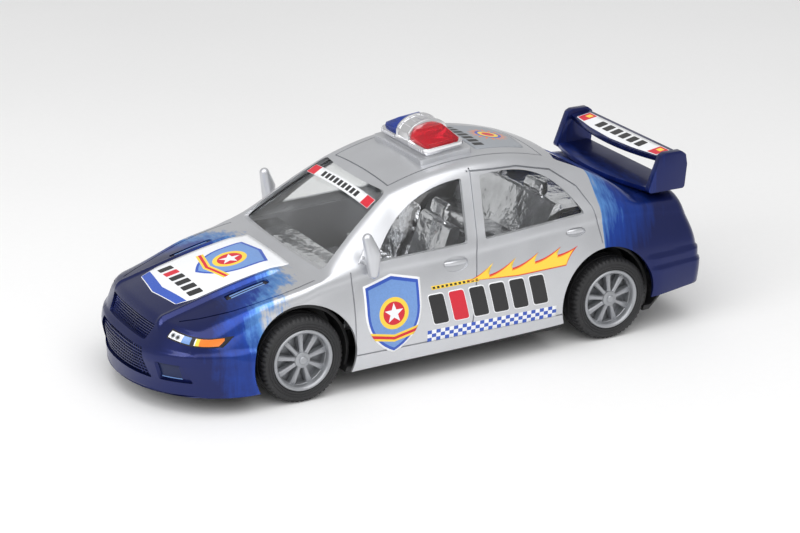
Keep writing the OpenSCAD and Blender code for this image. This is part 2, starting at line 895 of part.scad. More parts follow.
// Children in the frame of the light bar: its base on the pad, tilted with the roof
module on_roof() {
    translate([lightbar_x, 0, crown_z(lightbar_x) + pad_rise])
    rotate([0, lightbar_tilt, 0])
    children();
}

module roof_pad() {
    on_roof()
    translate([0, 0, -pad_rise - wall])
    linear_extrude(pad_rise + wall)
    rounded(1.5)
    square([lightbar_depth + 2 * pad_margin, lightbar_length + pad_margin], center = true);
}

module at_screws() {
    for (p = [front_screw, rear_screw], side = [-1, 1])
        translate([p.x, side * p.y, p.z])
        children();
}

module body_bosses() {
    intersection() {
        body_form(wall / 2, end_wall / 2, steps = inner_steps);
        at_screws()
        translate([0, 0, plate + boss_pad])
        cylinder(r = boss_radius, h = roof_front_z, $fn = 16);
    }
}

mirror_at = [window_front_x + 3.5, window_low(window_front_x) + 1.4];

module fixing_holes() {
    at_screws()
    cylinder(r = screw_radius + press_play * 4, h = screw_length + 2, $fn = 16);
    on_roof()
    both_sides()
    translate([0, lightbar_peg_y, -roof_peg])
    cylinder(r = peg_radius + peg_play, h = 2 * roof_peg, $fn = 16);
    both_sides() {
        translate([spoiler_peg.x, spoiler_peg.y, deck_z - 8])
        cylinder(r = peg_radius + peg_play, h = 16, $fn = 16);
        across(body_width / 2 - 8, body_width / 2)
        translate(mirror_at)
        circle(peg_radius + peg_play, $fn = 16);
    }
}

module body_shell() {
    color("silver")
    difference() {
        union() {
            difference() {
                union() {
                    body_form(0, 0);
                    roof_pad();
                }
                body_form(wall, end_wall, 6, inner_steps);
            }
            body_bosses();
        }
        wheel_arches();
        window_openings();
        difference() {
            union() {
                door_lines();
                top_recesses();
                nose_recesses();
                tail_recesses();
            }
            body_form(recess_depth, grille_depth, 0, inner_steps);
        }
        fixing_holes();
    }
}

glass_depth = wall + shell_gap;

module window_glazing() {
    low = [for (x = [cowl_x - 0.6, deck_front_x + 1.5]) [x, window_low(x) - 3]];
    color("lightgray")
    intersection() {
        difference() {
            body_form(glass_depth, end_wall, 0, glass_steps);
            body_form(glass_depth + glass, end_wall + glass, 6, glass_steps);
        }
        difference() {
            across(-body_width / 2, body_width / 2)
            polygon([low[0], [low[0].x, 2 * roof_rear_z], [low[1].x, 2 * roof_rear_z], low[1]]);
            translate([roof_rear_x + 10, -panel_width / 2 + 3, roof_front_z])
            cube([roof_run - 18, panel_width - 6, roof_front_z]);
        }
    }
}

// Cabin

firewall_x = front_axle_x - front_well_radius - well_wall - 1;
riser_x = motor_front_x + 1.5;
bench_z = motor_top_z + 1;
dash_z = cowl_z - 1.5;
seat_x = roof_front_x - 22;
column_at = [firewall_x - 16, seat_y, dash_z + 0.5];
column_tilt = -60;
column_length = 8;

module capsule(a, b, ra, rb) {
    hull() {
        translate(a) circle(ra, $fn = 20);
        translate(b) circle(rb, $fn = 20);
    }
}

module seat(foot, back_height, width, y) {
    across(y - width / 2, y + width / 2) {
        translate(foot) {
            capsule([0, 4], [19, 5.5], 3.4, 3.2);
            capsule([0, 5], [-7, back_height], 3.4, 2.4);
            translate([-2, 0]) square([20, 5]);
        }
    }
    across(y - width / 5, y + width / 5)
    translate(foot)
    capsule([-7.2, back_height + 4], [-7.8, back_height + 8], 2, 1.6);
}

module cabin_interior() {
    floor_top = cabin_floor_z + cabin_wall;
    back_x = riser_x - 14;
    color("gainsboro") {
        across(-cabin_half, cabin_half) {
            translate([riser_x - cabin_wall, cabin_floor_z]) {
                square([firewall_x - riser_x + cabin_wall, cabin_wall]);
                square([cabin_wall, bench_z - cabin_floor_z + cabin_wall]);
            }
            translate([firewall_x - cabin_wall, cabin_floor_z])
            square([cabin_wall, dash_z - cabin_floor_z - 4]);
            translate([back_x - 2, bench_z]) square([riser_x - back_x + 2, cabin_wall]);
            capsule([back_x - 1, bench_z + 4], [back_x - 9, belt_rear_z + 2], 3.4, 2.2);
            capsule([back_x, bench_z + 4], [riser_x - 3.4, bench_z + 5], 3.4, 3.2);
            translate([deck_front_x + 12, belt_rear_z]) square([back_x - 9 - deck_front_x - 12, cabin_wall]);
            rounded(1.5)
            polygon([
                [firewall_x - 5, dash_z - 10],
                [firewall_x, dash_z - 10],
                [firewall_x + 9, dash_z - 6],
                [firewall_x + 9, dash_z - 2],
                [firewall_x + 5, dash_z],
                [firewall_x - 5, dash_z],
                [firewall_x - 8, dash_z - 3],
                [firewall_x - 7.5, dash_z - 8]
            ]);
        }
        for (side = [-1, 1]) {
            seat([seat_x, floor_top], 28, seat_width, side * seat_y);
            across(side * seat_y - 6, side * seat_y + 6)
            capsule([back_x - 9.4, belt_rear_z + 6], [back_x - 9.8, belt_rear_z + 8], 2, 1.6);
        }
        translate(column_at)
        rotate([0, column_tilt, 0])
        translate([0, 0, -column_length - 8])
        cylinder(r = 2.4, h = 8, $fn = 24);
    }
}

module steering_wheel() {
    rim_r = 0.9;
    color("gray")
    translate(column_at)
    rotate([0, column_tilt, 0]) {
        rotate_extrude()
        translate([wheel_rim_radius, 0])
        circle(rim_r, $fn = 24);
        for (a = [0, 120, 240])
            rotate([0, 0, a])
            translate([0, -0.8, -0.5])
            cube([wheel_rim_radius, 1.6, 1]);
        translate([0, 0, -column_length])
        cylinder(r = 1.4, h = column_length + 1);
    }
}

// Mirrors

module mirror_piece() {
    color("silver") {
        hull() {
            translate([mirror_at.x - 0.5, mirror_half - 2.2, mirror_at.y - 3.4]) sphere(2.2, $fn = 16);
            translate([mirror_at.x - 1, mirror_half - 2.6, mirror_at.y + 4]) sphere(2.6, $fn = 16);
            translate([mirror_at.x + 1.4, mirror_half - 3.4, mirror_at.y + mirror_height - 5.6])
            sphere(2, $fn = 16);
            translate([mirror_at.x, mirror_half - 4.6, mirror_at.y + 1]) sphere(1.6, $fn = 16);
        }
        across(body_width / 2 - 5.2, mirror_half - 3)
        translate(mirror_at)
        circle(peg_radius);
    }
}

module mirror_left() {
    mirror_piece();
}

module mirror_right() {
    mirror([0, 1, 0]) mirror_piece();
}

// Light bar

tray = 2;
neck = 1.2;
lens_gap = 0.1;

module bar_profile(depth, height) {
    polygon([for (a = [0 : 15 : 180]) [depth / 2 * cos(a), height * pow(sin(a), 0.8)]]);
}

module lightbar_base() {
    top = neck + tray;
    color("gainsboro")
    on_roof() {
        linear_extrude(neck)
        rounded(1.5)
        square([lightbar_depth - 2, lightbar_length - 3], center = true);
        translate([0, 0, neck])
        linear_extrude(tray)
        rounded(2.5)
        square([lightbar_depth, lightbar_length], center = true);
        across(-arch_length / 2, arch_length / 2)
        translate([0, top])
        bar_profile(lightbar_depth - 1.2, lightbar_height - top - 0.6);
        for (y = [-arch_length / 2, arch_length / 2 - 1.4])
            across(y, y + 1.4)
            translate([0, top])
            bar_profile(lightbar_depth, lightbar_height - top);
        both_sides()
        translate([0, lightbar_peg_y, -roof_peg + bite])
        cylinder(r = peg_radius, h = roof_peg);
    }
}

module lens() {
    top = neck + tray;
    inner_y = arch_length / 2 + lens_gap;
    outer_y = lightbar_length / 2 - 1.2;
    on_roof()
    hull() {
        across(inner_y, inner_y + 1.4)
        translate([0, top])
        bar_profile(lightbar_depth - 2.4, lightbar_height - top - 1);
        translate([0, inner_y + 4.4, top])
        linear_extrude(lightbar_height - top - 1.6)
        square([lightbar_depth - 9, 0.4], center = true);
        translate([-lightbar_depth / 2 + 2.4, inner_y, top])
        cube([lightbar_depth - 4.8, outer_y - inner_y, 1.4]);
        translate([-lightbar_depth / 2 + 1.2, inner_y, top])
        cube([lightbar_depth - 2.4, outer_y - inner_y - 1.5, 0.9]);
    }
}

module lens_red() {
    color("red") lens();
}

module lens_blue() {
    color("blue") mirror([0, 1, 0]) lens();
}

// Spoiler

spoiler_rear_x = deck_front_x - spoiler_reach;
spoiler_z = deck_z + 0.2;
spoiler_peg = [spoiler_rear_x + 8, spoiler_span / 2 - 8];

// Plan with a bowed front edge, rear edge on x = 0
module bowed_plan(depth, bow, half) {
    polygon(concat(
        [[0, -half], [0, half]],
        [for (t = [1 : -0.125 : -1]) [depth - bow * t * t, half * t]]
    ));
}

module endplate_outline() {
    top = spoiler_z + endplate_height;
    front_x = spoiler_rear_x + 16.4;
    rounded(1.2)
    polygon([
        [front_x, spoiler_z],
        [front_x - 6, top - 1],
        [front_x - 8, top],
        [spoiler_rear_x + 0.6, top],
        [spoiler_rear_x - 1.6, top - 1.6],
        [spoiler_rear_x - 2.4, top - 6],
        [spoiler_rear_x - 1.4, spoiler_z]
    ]);
}

module rear_spoiler() {
    inner = spoiler_span / 2 - endplate;
    color("midnightblue") {
        both_sides()
        across(inner, inner + endplate)
        endplate_outline();
        translate([spoiler_rear_x, 0, spoiler_z])
        linear_extrude(foot_plate)
        bowed_plan(foot_depth, foot_bow, inner + bite);
        translate([spoiler_rear_x, 0, spoiler_z + endplate_height - blade - 1.2])
        rotate([0, blade_tilt, 0])
        linear_extrude(blade)
        bowed_plan(blade_depth, blade_bow, inner + bite);
        both_sides()
        translate([spoiler_peg.x, spoiler_peg.y, spoiler_z - 5])
        cylinder(r = peg_radius, h = 5 + foot_plate / 2);
    }
}

// Chassis

chassis_tail_x = tail_x + end_wall + tail_fillet + chassis_gap;
kick_x = rear_well_x - rear_well_radius - well_wall - 1.4;

function chassis_side(x) = bottom_half(x) - wall - chassis_gap;

function chassis_nose(y) =
    nose_x - end_wall - chassis_gap - nose_plan(y + chassis_gap, chassis_z);

module chassis_plan() {
    half = concat(
        [for (x = [chassis_tail_x, tail_blend_x, cowl_x]) [x, chassis_side(x)]],
        [for (a = [0 : 10 : 80]) let (y = chassis_side(cowl_x) * cos(a)) [chassis_nose(y), y]]
    );
    n = len(half);
    polygon(concat(half, [for (i = [n - 1 : -1 : 0]) [half[i].x, -half[i].y]]));
}

module chassis_profile() {
    run = 10;
    polygon([
        [nose_x, chassis_z],
        [nose_x, plate_top],
        [kick_x, plate_top],
        [kick_x - run, chassis_tail_z + plate],
        [tail_x, chassis_tail_z + plate],
        [tail_x, chassis_tail_z],
        [kick_x - run + 1, chassis_tail_z],
        [kick_x + 1, chassis_z]
    ]);
}

wells = [
    [front_axle_x, axle_z, front_well_radius],
    [rear_well_x, axle_z, rear_well_radius]
];

module motor_outline(extra) {
    hull() {
        for (p = [axle_at, first_at, second_at])
            translate(p) circle(gear_tip + extra, $fn = 40);
        translate(flywheel_at) circle(flywheel_radius + extra, $fn = 40);
    }
}

module axle_line(x, r, half) {
    translate([x, half, axle_z])
    rotate([90, 0, 0])
    cylinder(r = r, h = 2 * half);
}

post_spots = [[firewall_x - 8, cabin_half - 12], [riser_x + 8, cabin_half - 10]];
motor_screw_y = case_half + lug / 2;

module chassis_plate() {
    color([0.1, 0.1, 0.1])
    difference() {
        union() {
            intersection() {
                linear_extrude(2 * chassis_tail_z) chassis_plan();
                across(-body_width, body_width) chassis_profile();
            }
            for (w = wells)
                both_sides()
                intersection() {
                    across(well_inner_y - well_wall, well_outer_y)
                    translate([w.x, w.y])
                    circle(w.z + well_wall);
                    translate([w.x - 2 * w.z, 0, chassis_z]) cube([4 * w.z, body_width, 4 * w.z]);
                }
            at_screws() cylinder(r = boss_radius + 1, h = plate + boss_pad);
            for (p = post_spots)
                both_sides()
                translate([p.x, p.y, chassis_z])
                cylinder(r = post_radius, h = cabin_floor_z - chassis_z);
            for (x = [front_axle_x, rear_axle_x])
                both_sides()
                across(well_inner_y - 4, well_inner_y - bite)
                translate([x, axle_z])
                circle(axle_radius + bearing_wall);
        }
        for (w = wells)
            both_sides()
            across(well_inner_y, body_width) translate([w.x, w.y]) circle(w.z);
        for (x = [front_axle_x, rear_axle_x])
            axle_line(x, axle_radius + running_play, body_width / 2);
        at_screws() {
            translate([0, 0, -bite]) cylinder(r = screw_radius + 0.15, h = 3 * plate + bite);
            translate([0, 0, -bite]) cylinder(r = screw_head_radius + 0.2, h = screw_head + head_sink + bite);
        }
        across(-case_half - shell_gap, case_half + shell_gap) motor_outline(case_gap + case_wall + shell_gap);
        both_sides()
        translate([second_at.x, motor_screw_y, chassis_z - bite])
        cylinder(r = screw_radius + press_play, h = plate + 2 * bite);
    }
}

module screw(length) {
    cylinder(r = screw_radius, h = length);
    difference() {
        translate([0, 0, -screw_head]) cylinder(r = screw_head_radius, h = screw_head);
        for (a = [0, 90])
            rotate([0, 0, a])
            translate([-screw_head_radius * 0.7, -0.3, -screw_head - bite])
            cube([screw_head_radius * 1.4, 0.6, 0.6 + bite]);
    }
}

module chassis_screws() {
    color("silver")
    at_screws()
    translate([0, 0, screw_head + head_sink])
    screw(screw_length);
}

// Friction motor

module motor_half(side) {
    difference() {
        union() {
            across(side > 0 ? 0 : -case_half, side > 0 ? case_half : 0)
            motor_outline(case_gap + case_wall);
            translate([second_at.x - lug / 2, side > 0 ? case_half - bite : -case_half - lug, plate_top])
            cube([lug, lug + bite, lug_height]);
        }
        across(-cavity_half, cavity_half) motor_outline(case_gap);
        axle_line(rear_axle_x, axle_radius + shell_gap, body_width / 2);
        for (p = [first_at, second_at, flywheel_at])
            across(-case_half - bite, case_half + bite)
            translate(p)
            circle(shaft_radius + running_play);
        translate([second_at.x, side * motor_screw_y, plate_top - bite])
        cylinder(r = screw_radius + press_play, h = lug_height + 2 * bite);
    }
}

module motor_case_left() {
    color("ivory") motor_half(1);
}

module motor_case_right() {
    color("ivory") motor_half(-1);
}

module motor_screws() {
    color("silver")
    both_sides()
    translate([second_at.x, motor_screw_y, plate_top + lug_height])
    rotate([180, 0, 0])
    screw(plate + lug_height - 0.3);
}

function involute(a) = tan(a) * 180 / PI - a;

function tooth_half(r, n) =
    let (
        pitch = n * gear_module / 2,
        base = pitch * cos(pressure_angle),
        a = r <= base ? 0 : acos(base / r)
    )
    90 / n - backlash / 4 / pitch * 180 / PI + involute(pressure_angle) - involute(a);

function flank(n) =
    let (
        pitch = n * gear_module / 2,
        root = pitch - dedendum,
        base = max(root + 0.05, pitch * cos(pressure_angle)),
        tip = pitch + addendum
    )
    concat([root], [for (t = [0 : 0.25 : 1]) lerp(base, tip, t)]);

module gear_outline(n, phase) {
    radii = flank(n);
    last = len(radii) - 1;
    polygon([
        for (i = [0 : n - 1], k = [0 : 2 * last + 1])
            let (r = radii[k <= last ? k : 2 * last + 1 - k], way = k <= last ? -1 : 1)
            polar(r, phase + 360 * i / n + way * tooth_half(r, n))
    ]);
}

// Turn that brings a driven gear's gap to the driver's tooth on their line of centres
function mesh_phase(line, driver, driven) = line + 180 + driver / driven * line - 180 / driven;

module axle_gear() {
    color("white")
    across(layer_y[0], layer_y[0] + gear_width)
    translate(axle_at)
    difference() {
        gear_outline(gear_teeth, 0);
        circle(axle_radius + press_play);
    }
}

module compound_gear(at, low, line) {
    translate([at.x, 0, at.y]) {
        across(layer_y[low], layer_y[low + 1])
        difference() {
            gear_outline(pinion_teeth, mesh_phase(line, gear_teeth, pinion_teeth));
            circle(shaft_radius + press_play);
        }
        across(layer_y[low + 1], layer_y[low + 1] + gear_width)
        difference() {
            gear_outline(gear_teeth, 0);
            circle(shaft_radius + press_play);
        }
    }
}

module shaft(at) {
    translate([at.x, case_half - 0.2, at.y])
    rotate([90, 0, 0])
    cylinder(r = shaft_radius, h = 2 * case_half - 0.4);
}

module first_gear() {
    color("white") compound_gear(first_at, 0, motor_angles[0]);
}

module first_shaft() {
    color("silver") shaft(first_at);
}

module second_gear() {
    color("white") compound_gear(second_at, 1, motor_angles[1]);
}

module second_shaft() {
    color("silver") shaft(second_at);
}

module flywheel_pinion() {
    color("white")
    across(layer_y[2], layer_y[3])
    translate(flywheel_at)
    difference() {
        gear_outline(pinion_teeth, mesh_phase(motor_angles[2], gear_teeth, pinion_teeth));
        circle(shaft_radius + press_play);
    }
}

module flywheel() {
    rim = 2;
    web = flywheel_width - 2;
    color("darkgray")
    translate([flywheel_at.x, layer_y[3], flywheel_at.y])
    rotate([-90, 0, 0])
    rotate_extrude($fn = 64)
    polygon([
        [shaft_radius + press_play, 0],
        [flywheel_radius - 0.4, 0],
        [flywheel_radius, 0.4],
        [flywheel_radius, flywheel_width],
        [flywheel_radius - rim, flywheel_width],
        [flywheel_radius - rim, web],
        [3, web],
        [3, flywheel_width],
        [shaft_radius + press_play, flywheel_width]
    ]);
}

module flywheel_shaft() {
    color("silver") shaft(flywheel_at);
}

// Wheels

disc_top = tyre_width - disc_sink;
bore_top = disc_top - 0.5;
hub_foot = well_inner_y + hub_gap - tyre_inner_y;
axle_half = tyre_inner_y + bore_top - 0.2;

// Children with the axle along Z, inner face of the tyre at 0
module on_axle(x, side) {
    translate([x, side * tyre_inner_y, axle_z])
    rotate([-90 * side, 0, 0])
    children();
}

module spoke_gap() {
    outer = rim_radius - rim_wall - 0.3;
    inner = hub_radius + 1.2;
    outer_a = 180 / spokes - asin(spoke_width / 2 / outer);
    inner_a = 180 / spokes - asin(spoke_width / 2 / inner);
    polygon(concat(
        [for (t = [-1 : 0.5 : 1]) polar(outer, outer_a * t)],
        [for (t = [1, 0, -1]) polar(inner, inner_a * t)]
    ));
}

module wheel() {
    color("gray")
    difference() {
        union() {
            rotate_extrude($fn = 64)
            polygon([
                [rim_radius - rim_wall, 0.4],
                [rim_radius, 0.4],
                [rim_radius, tyre_width - 0.5],
                [rim_radius - 0.4, tyre_width - 0.1],
                [rim_radius - rim_wall + 0.5, tyre_width - 0.1],
                [rim_radius - rim_wall, tyre_width - 1]
            ]);
            translate([0, 0, disc_top - disc_thickness])
            cylinder(r = rim_radius - rim_wall + bite, h = disc_thickness);
            translate([0, 0, hub_foot])
            cylinder(r = hub_radius, h = disc_top + 0.4 - hub_foot);
            translate([0, 0, disc_top])
            cylinder(r1 = hub_radius - 0.3, r2 = hub_radius - 1, h = 1);
        }
        for (i = [0 : spokes - 1])
            rotate([0, 0, 360 * i / spokes])
            translate([0, 0, disc_top - disc_thickness - bite])
            linear_extrude(disc_thickness + 2 * bite)
            spoke_gap();
        translate([0, 0, hub_foot - bite])
        cylinder(r = axle_radius + press_play, h = bore_top - hub_foot + bite);
    }
}

module tyre() {
    r0 = rim_radius + press_play;
    w = tyre_width;
    color([0.13, 0.13, 0.13])
    difference() {
        rotate_extrude($fn = 72)
        polygon([
            [r0, 0.4],
            [r0 + 1, 0],
            [tyre_radius - 2.4, 0],
            [tyre_radius - 0.7, 0.8],
            [tyre_radius, 2.2],
            [tyre_radius, w - 2.2],
            [tyre_radius - 0.7, w - 0.8],
            [tyre_radius - 2.4, w],
            [r0 + 1, w],
            [r0, w - 0.4]
        ]);
        for (t = [0.36, 0.64])
            translate([0, 0, w * t - 0.4])
            difference() {
                cylinder(r = tyre_radius + bite, h = 0.8);
                translate([0, 0, -bite]) cylinder(r = tyre_radius - 0.7, h = 0.8 + 2 * bite);
            }
    }
}

module axle(x) {
    color("silver") axle_line(x, axle_radius, axle_half);
}

body_shell();
window_glazing();
cabin_interior();
steering_wheel();
mirror_left();
mirror_right();
lightbar_base();
lens_red();
lens_blue();
rear_spoiler();
chassis_plate();
chassis_screws();
motor_case_left();
motor_case_right();
motor_screws();
axle(front_axle_x);  // front_axle
on_axle(front_axle_x, 1) wheel();  // front_wheel_left
on_axle(front_axle_x, -1) wheel();  // front_wheel_right
on_axle(front_axle_x, 1) tyre();  // front_tyre_left
on_axle(front_axle_x, -1) tyre();  // front_tyre_right
axle(rear_axle_x);  // rear_axle
on_axle(rear_axle_x, 1) wheel();  // rear_wheel_left
on_axle(rear_axle_x, -1) wheel();  // rear_wheel_right
on_axle(rear_axle_x, 1) tyre();  // rear_tyre_left
on_axle(rear_axle_x, -1) tyre();  // rear_tyre_right
axle_gear();
first_gear();
first_shaft();
second_gear();
second_shaft();
flywheel();
flywheel_pinion();
flywheel_shaft();
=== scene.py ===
"""Looks of a friction toy police saloon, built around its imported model, in metres."""

import json
import math

import bmesh
import bpy
from mathutils import Matrix, Vector
from mathutils.bvhtree import BVHTree
from mathutils.geometry import barycentric_transform, delaunay_2d_cdt


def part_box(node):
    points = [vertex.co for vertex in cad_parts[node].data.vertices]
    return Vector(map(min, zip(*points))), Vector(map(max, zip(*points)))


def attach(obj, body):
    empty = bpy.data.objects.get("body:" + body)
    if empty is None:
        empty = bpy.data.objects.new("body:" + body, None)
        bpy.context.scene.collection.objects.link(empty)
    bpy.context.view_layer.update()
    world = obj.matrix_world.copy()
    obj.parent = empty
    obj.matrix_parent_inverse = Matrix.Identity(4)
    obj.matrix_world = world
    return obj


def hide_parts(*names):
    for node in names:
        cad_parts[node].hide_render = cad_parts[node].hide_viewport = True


bl_info = {
    "name": "Toy Police Car",
    "version": (1, 0, 0),
    "blender": (4, 5, 0),
    "location": "View3D > Sidebar > Toy Car",
    "description": "Builds the painted body, windows, wheels, stickers and trim of a toy police car",
    "category": "Object",
}

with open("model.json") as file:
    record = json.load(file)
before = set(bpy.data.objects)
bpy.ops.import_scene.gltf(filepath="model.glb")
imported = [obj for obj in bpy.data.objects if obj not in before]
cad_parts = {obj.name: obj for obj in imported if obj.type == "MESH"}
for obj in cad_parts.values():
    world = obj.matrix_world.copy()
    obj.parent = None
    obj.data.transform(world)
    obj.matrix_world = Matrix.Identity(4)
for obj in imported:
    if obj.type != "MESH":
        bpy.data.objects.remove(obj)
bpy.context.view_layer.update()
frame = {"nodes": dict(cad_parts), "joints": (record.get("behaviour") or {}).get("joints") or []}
MM = 0.001
AXLES = {joint["child"]: Vector(joint["pos_m"]) for joint in frame["joints"]}


# Sizes and colours that a user can change


def size(name, millimetres, about):
    """A length in the panel, given in millimetres and kept in metres."""
    return bpy.props.FloatProperty(
        name=name, description=about, default=millimetres * MM, unit="LENGTH", precision=5
    )


def ratio(name, value, about):
    return bpy.props.FloatProperty(name=name, description=about, default=value)


def colour(name, rgb, about):
    return bpy.props.FloatVectorProperty(
        name=name, description=about, default=rgb, size=3, subtype="COLOR", min=0.0, max=1.0
    )


class BodySizes(bpy.types.PropertyGroup):
    """Outline of the moulded body shell."""

    body_length: size("Length", 241, "From nose to tail")
    body_width: size("Width", 93, "Over the doors")
    wall: size("Wall", 1.6, "Thickness of the shell")
    end_wall: size("End wall", 3, "Thickness across the nose and tail")
    line_depth: size("Line depth", 0.7, "Depth of the panel lines")
    recess_depth: size("Recess depth", 1.7, "Depth of the grilles and lamps")
    line_width: size("Line width", 0.6, "Width of the panel lines")

    hood_length: size("Bonnet", 66.5, "Nose to windscreen base")
    windscreen_run: size("Windscreen run", 36, "Windscreen base to roof edge, along the car")
    roof_run: size("Roof run", 76, "Length of the roof")
    rear_window_run: size("Rear window run", 34, "Roof edge to boot lid, along the car")
    hood_front_z: size("Bonnet edge height", 35, "Height of the bonnet's front edge")
    cowl_z: size("Windscreen base height", 48, "Height of the windscreen base")
    roof_front_z: size("Roof front height", 73.5, "Height of the roof's front edge")
    roof_rear_z: size("Roof rear height", 75.5, "Height of the roof's rear edge")
    deck_z: size("Boot lid height", 56.5, "Height of the boot lid at the rear window")
    tail_z: size("Boot edge height", 55, "Height of the boot lid's rear edge")
    hood_rise: size("Bonnet arch", 1.5, "Arch of the bonnet over its chord")
    windscreen_rise: size("Windscreen arch", 1, "Arch of the windscreen over its chord")
    roof_rise: size("Roof arch", 7, "Arch of the roof over its chord")
    rear_window_rise: size("Rear window arch", 1.5, "Arch of the rear window over its chord")

    nose_sweep: size("Nose sweep", 44, "How far the nose sweeps back at full width")
    hood_squareness: ratio("Bonnet squareness", 3, "Squareness of the bonnet edge in plan, 2 is an ellipse")
    nose_lean: size("Nose lean", 6.2, "How far the bonnet edge stands behind the bumper")
    nose_lean_z: size("Nose lean height", 20, "Height where the nose starts to lean")
    tail_sweep: size("Tail sweep", 3, "How far the tail sweeps forward at full width")
    tail_lean: size("Tail lean", 6, "How far the boot edge stands ahead of the rear bumper")
    tail_lean_z: size("Tail lean height", 32, "Height where the tail starts to lean")
    nose_fillet: size("Nose radius", 3, "Edge radius round the nose")
    tail_fillet: size("Tail radius", 4, "Edge radius round the tail")

    sill_width: size("Sill width", 90, "Width along the lower edge of the doors")
    nose_bottom_z: size("Nose lower edge", 8, "Height of the lower edge at the nose")
    sill_front_z: size("Sill front height", 9.3, "Height of the lower edge ahead of the doors")
    sill_rear_z: size("Sill rear height", 11.5, "Height of the lower edge behind the doors")
    tail_bottom_z: size("Tail lower edge", 17, "Height of the lower edge at the tail")
    tail_width: size("Tail width", 85, "Width over the tail")
    shoulder_width: size("Shoulder width", 86, "Width along the shoulder at the doors")
    tail_shoulder_width: size("Tail shoulder width", 77, "Width along the shoulder at the tail")
    nose_shoulder_width: size("Nose shoulder width", 81, "Width along the shoulder at the nose")
    nose_shoulder_z: size("Nose shoulder height", 32.5, "Shoulder height at the nose")
    fender_z: size("Wing height", 44.5, "Shoulder height over the front wheels")
    belt_front_z: size("Belt front height", 47, "Belt height at the windscreen base")
    belt_mid_z: size("Belt mid height", 51, "Belt height between the doors")
    belt_rear_z: size("Belt rear height", 54, "Belt height at the rear pillar")
    tail_shoulder_z: size("Tail shoulder height", 50, "Shoulder height at the tail")
    shoulder_radius: size("Shoulder radius", 4, "Radius of the shoulder")
    roof_front_width: size("Roof front width", 57, "Between the roof rails at the windscreen")
    roof_rear_width: size("Roof rear width", 55, "Between the roof rails at the rear window")
    cowl_width: size("Windscreen base width", 78, "Width of the windscreen base")
    hood_front_width: size("Bonnet edge width", 62, "Width of the bonnet at the nose")
    deck_width: size("Boot lid width", 66, "Width of the boot lid")
    rail_radius: size("Rail radius", 4, "Radius of the roof rails")
    panel_width: size("Panel width", 45, "Width of the raised bonnet panel")
    panel_rise: size("Panel rise", 0.8, "Height of the raised bonnet panel")
    bead_rise: size("Bead rise", 0.7, "Height of the bead along the bonnet panel")
    nose_ledge: size("Nose ledge", 0.8, "How far the front bumper stands proud")
    nose_ledge_z: size("Nose ledge height", 26.4, "Height of the front bumper's ledge")
    tail_ledge: size("Tail ledge", 0.7, "How far each step of the rear bumper stands proud")

    arch_radius: size("Wheel arch", 21.5, "Radius of the wheel arches")
    front_arch_lift: size("Front arch lift", 0.8, "Front arch centre above the axle")
    rear_arch_lift: size("Rear arch lift", 1.8, "Rear arch centre above the axle")
    rear_arch_lead: size("Rear arch lead", 3, "Rear arch centre ahead of the axle")
    window_setback: size("Window setback", 22.5, "Windscreen base to the front side window")
    pillar_setback: size("Pillar setback", 67, "Windscreen base to the pillar between the doors")
    pillar_width: size("Pillar width", 8, "Width of the pillar between the doors")
    pillar_lean: size("Pillar lean", 3, "How far the pillar's top stands behind its foot")
    window_end_setback: size("Window end", 117, "Windscreen base to the rear side window's end")
    window_top_z: size("Window top", 74.8, "Height of the top of the side windows")
    window_sill: size("Window sill", 0.8, "Side windows above the shoulder line")
    screen_frame: size("Screen frame", 2.8, "Width of the frame beside the windscreen")
    door_setback: size("Door setback", 12, "Windscreen base to the front door's edge")
    sill_line_z: size("Sill line height", 16, "Height of the crease along the sill")
    glass_gap: size("Glass gap", 0.3, "Room between the shell and the window moulding")
    glass: size("Glass", 1, "Thickness of the window moulding")


# Curves and sections of the body


def lerp(a, b, t):
    return a + (b - a) * t


def clamp(t):
    return min(1.0, max(0.0, t))


def smooth(t):
    u = clamp(t)
    return u * u * (3 - 2 * u)


def arch(t, a, b, rise):
    return lerp(a, b, t) + 4 * rise * t * (1 - t)


def bend(p, q, r, t):
    """Point on a quadratic curve from p to r, drawn towards q."""
    return p.lerp(q, t).lerp(q.lerp(r, t), t)


def steps(count, first=0.0, last=1.0):
    return [lerp(first, last, i / count) for i in range(count + 1)]


def curve(knots, x):
    """Smooth curve through (x, value) knots."""
    last = len(knots) - 1
    i = next((k for k in range(last - 1) if x < knots[k + 1][0]), last - 1)

    def slope(k):
        a, b = knots[max(k - 1, 0)], knots[min(k + 1, last)]
        return (b[1] - a[1]) / (b[0] - a[0])

    run = knots[i + 1][0] - knots[i][0]
    t = clamp((x - knots[i][0]) / run)
    a, b = knots[i][1], knots[i + 1][1]
    rise_in, rise_out = slope(i) * run, slope(i + 1) * run
    cubic = 2 * (a - b) + rise_in + rise_out
    return a + t * (rise_in + t * (3 * (b - a) - 2 * rise_in - rise_out + t * cubic))


